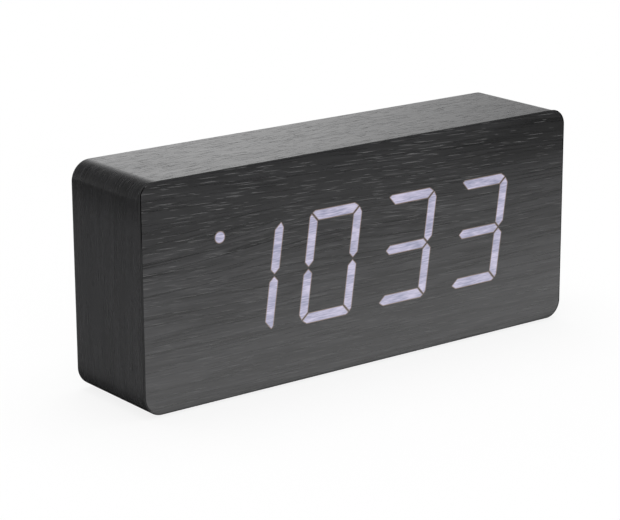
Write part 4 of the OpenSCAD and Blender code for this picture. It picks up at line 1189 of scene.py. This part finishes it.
def floor_material():
    """White to the eye with a share of real light for the shadow, and a pool of light in gloss."""
    material = bpy.data.materials.new("floor")
    tree = bare_tree(material)
    lit = tree.nodes.new("ShaderNodeBsdfDiffuse")
    lit.inputs["Color"].default_value = FLOOR_GREY
    white = tree.nodes.new("ShaderNodeEmission")
    place = tree.nodes.new("ShaderNodeTexCoord").outputs["Object"]
    far = tree.nodes.new("ShaderNodeVectorMath")
    far.operation = "LENGTH"
    tree.links.new(place, far.inputs[0])
    seen = mix_shaders(tree, ramp(tree, far.outputs["Value"], *FLOOR_WHITE), lit, white)
    to_left = [slope(tree, place, LEFT, *falloff) for falloff in (POOL_LEFT, POOL_AWAY)]
    beside = combine(tree, "MULTIPLY", *to_left)
    beside = combine(tree, "MINIMUM", beside, slope(tree, place, RIGHT, *POOL_RIGHT))
    off_foot = [slope(tree, place, way, *falloff) for way, falloff in POOL_SHADE]
    around = combine(tree, "MULTIPLY", beside, combine(tree, "MAXIMUM", *off_foot))
    around = combine(tree, "MAXIMUM", around, slope(tree, place, FORWARD, *POOL_OPEN))
    strength = combine(tree, "MINIMUM", around, slope(tree, place, FORWARD, *POOL_BEFORE))
    pool = tree.nodes.new("ShaderNodeEmission")
    tree.links.new(strength, pool.inputs["Strength"])
    reflected = mix_shaders(tree, path_share(tree, *IN_GLOSS), lit, pool)
    whole = mix_shaders(tree, path_share(tree, "Is Camera Ray"), reflected, seen)
    output = tree.nodes.new("ShaderNodeOutputMaterial")
    tree.links.new(whole.outputs[0], output.inputs["Surface"])
    return material


def floor():
    mesh = bmesh.new()
    bmesh.ops.create_grid(mesh, x_segments=1, y_segments=1, size=FLOOR_SIZE)
    data = bpy.data.meshes.new("floor")
    mesh.to_mesh(data)
    mesh.free()
    data.materials.append(floor_material())
    add_object("floor", data)


def world():
    """White to the eye, bright sheets behind and before the clock in gloss, and soft light all round."""
    made = bpy.data.worlds.new("studio")
    bpy.context.scene.world = made
    tree = bare_tree(made)
    around, backdrop, white = [tree.nodes.new("ShaderNodeBackground") for _ in range(3)]
    for each in (around, backdrop, white):
        each.inputs["Color"].default_value = WHITE
    way = tree.nodes.new("ShaderNodeTexCoord").outputs["Generated"]
    tree.links.new(slope(tree, way, BACK, *AMBIENT), around.inputs["Strength"])
    behind = [slope(tree, way, BACKDROP_WAY, *BACKDROP), slope(tree, way, RIGHT, *BACKDROP_RIGHT)]
    sheets = [combine(tree, "MULTIPLY", *behind), slope(tree, way, FACING_WAY, *FACING)]
    tree.links.new(combine(tree, "MAXIMUM", *sheets), backdrop.inputs["Strength"])
    reflected = mix_shaders(tree, path_share(tree, *IN_GLOSS), around, backdrop)
    whole = mix_shaders(tree, path_share(tree, "Is Camera Ray"), reflected, white)
    output = tree.nodes.new("ShaderNodeOutputWorld")
    tree.links.new(whole.outputs[0], output.inputs["Surface"])


def lamp(name, place, target, size, power, in_gloss):
    data = bpy.data.lights.new(name, "AREA")
    data.shape = "DISK"
    data.size = size
    data.energy = power
    piece = add_object(name, data)
    piece.location = place
    piece.rotation_euler = (Vector(target) - Vector(place)).to_track_quat("-Z", "Y").to_euler()
    piece.visible_glossy = in_gloss


def camera():
    data = bpy.data.cameras.new("camera")
    data.sensor_width = SENSOR_WIDTH
    data.lens = CAMERA_LENS
    piece = add_object("camera", data)
    piece.location = CAMERA_PLACE
    piece.rotation_euler = Euler([math.radians(a) for a in CAMERA_TURN])
    bpy.context.scene.camera = piece


floor()
world()
for settings in LAMPS:
    lamp(*settings)
camera()
bpy.context.scene.view_settings.view_transform = "Standard"
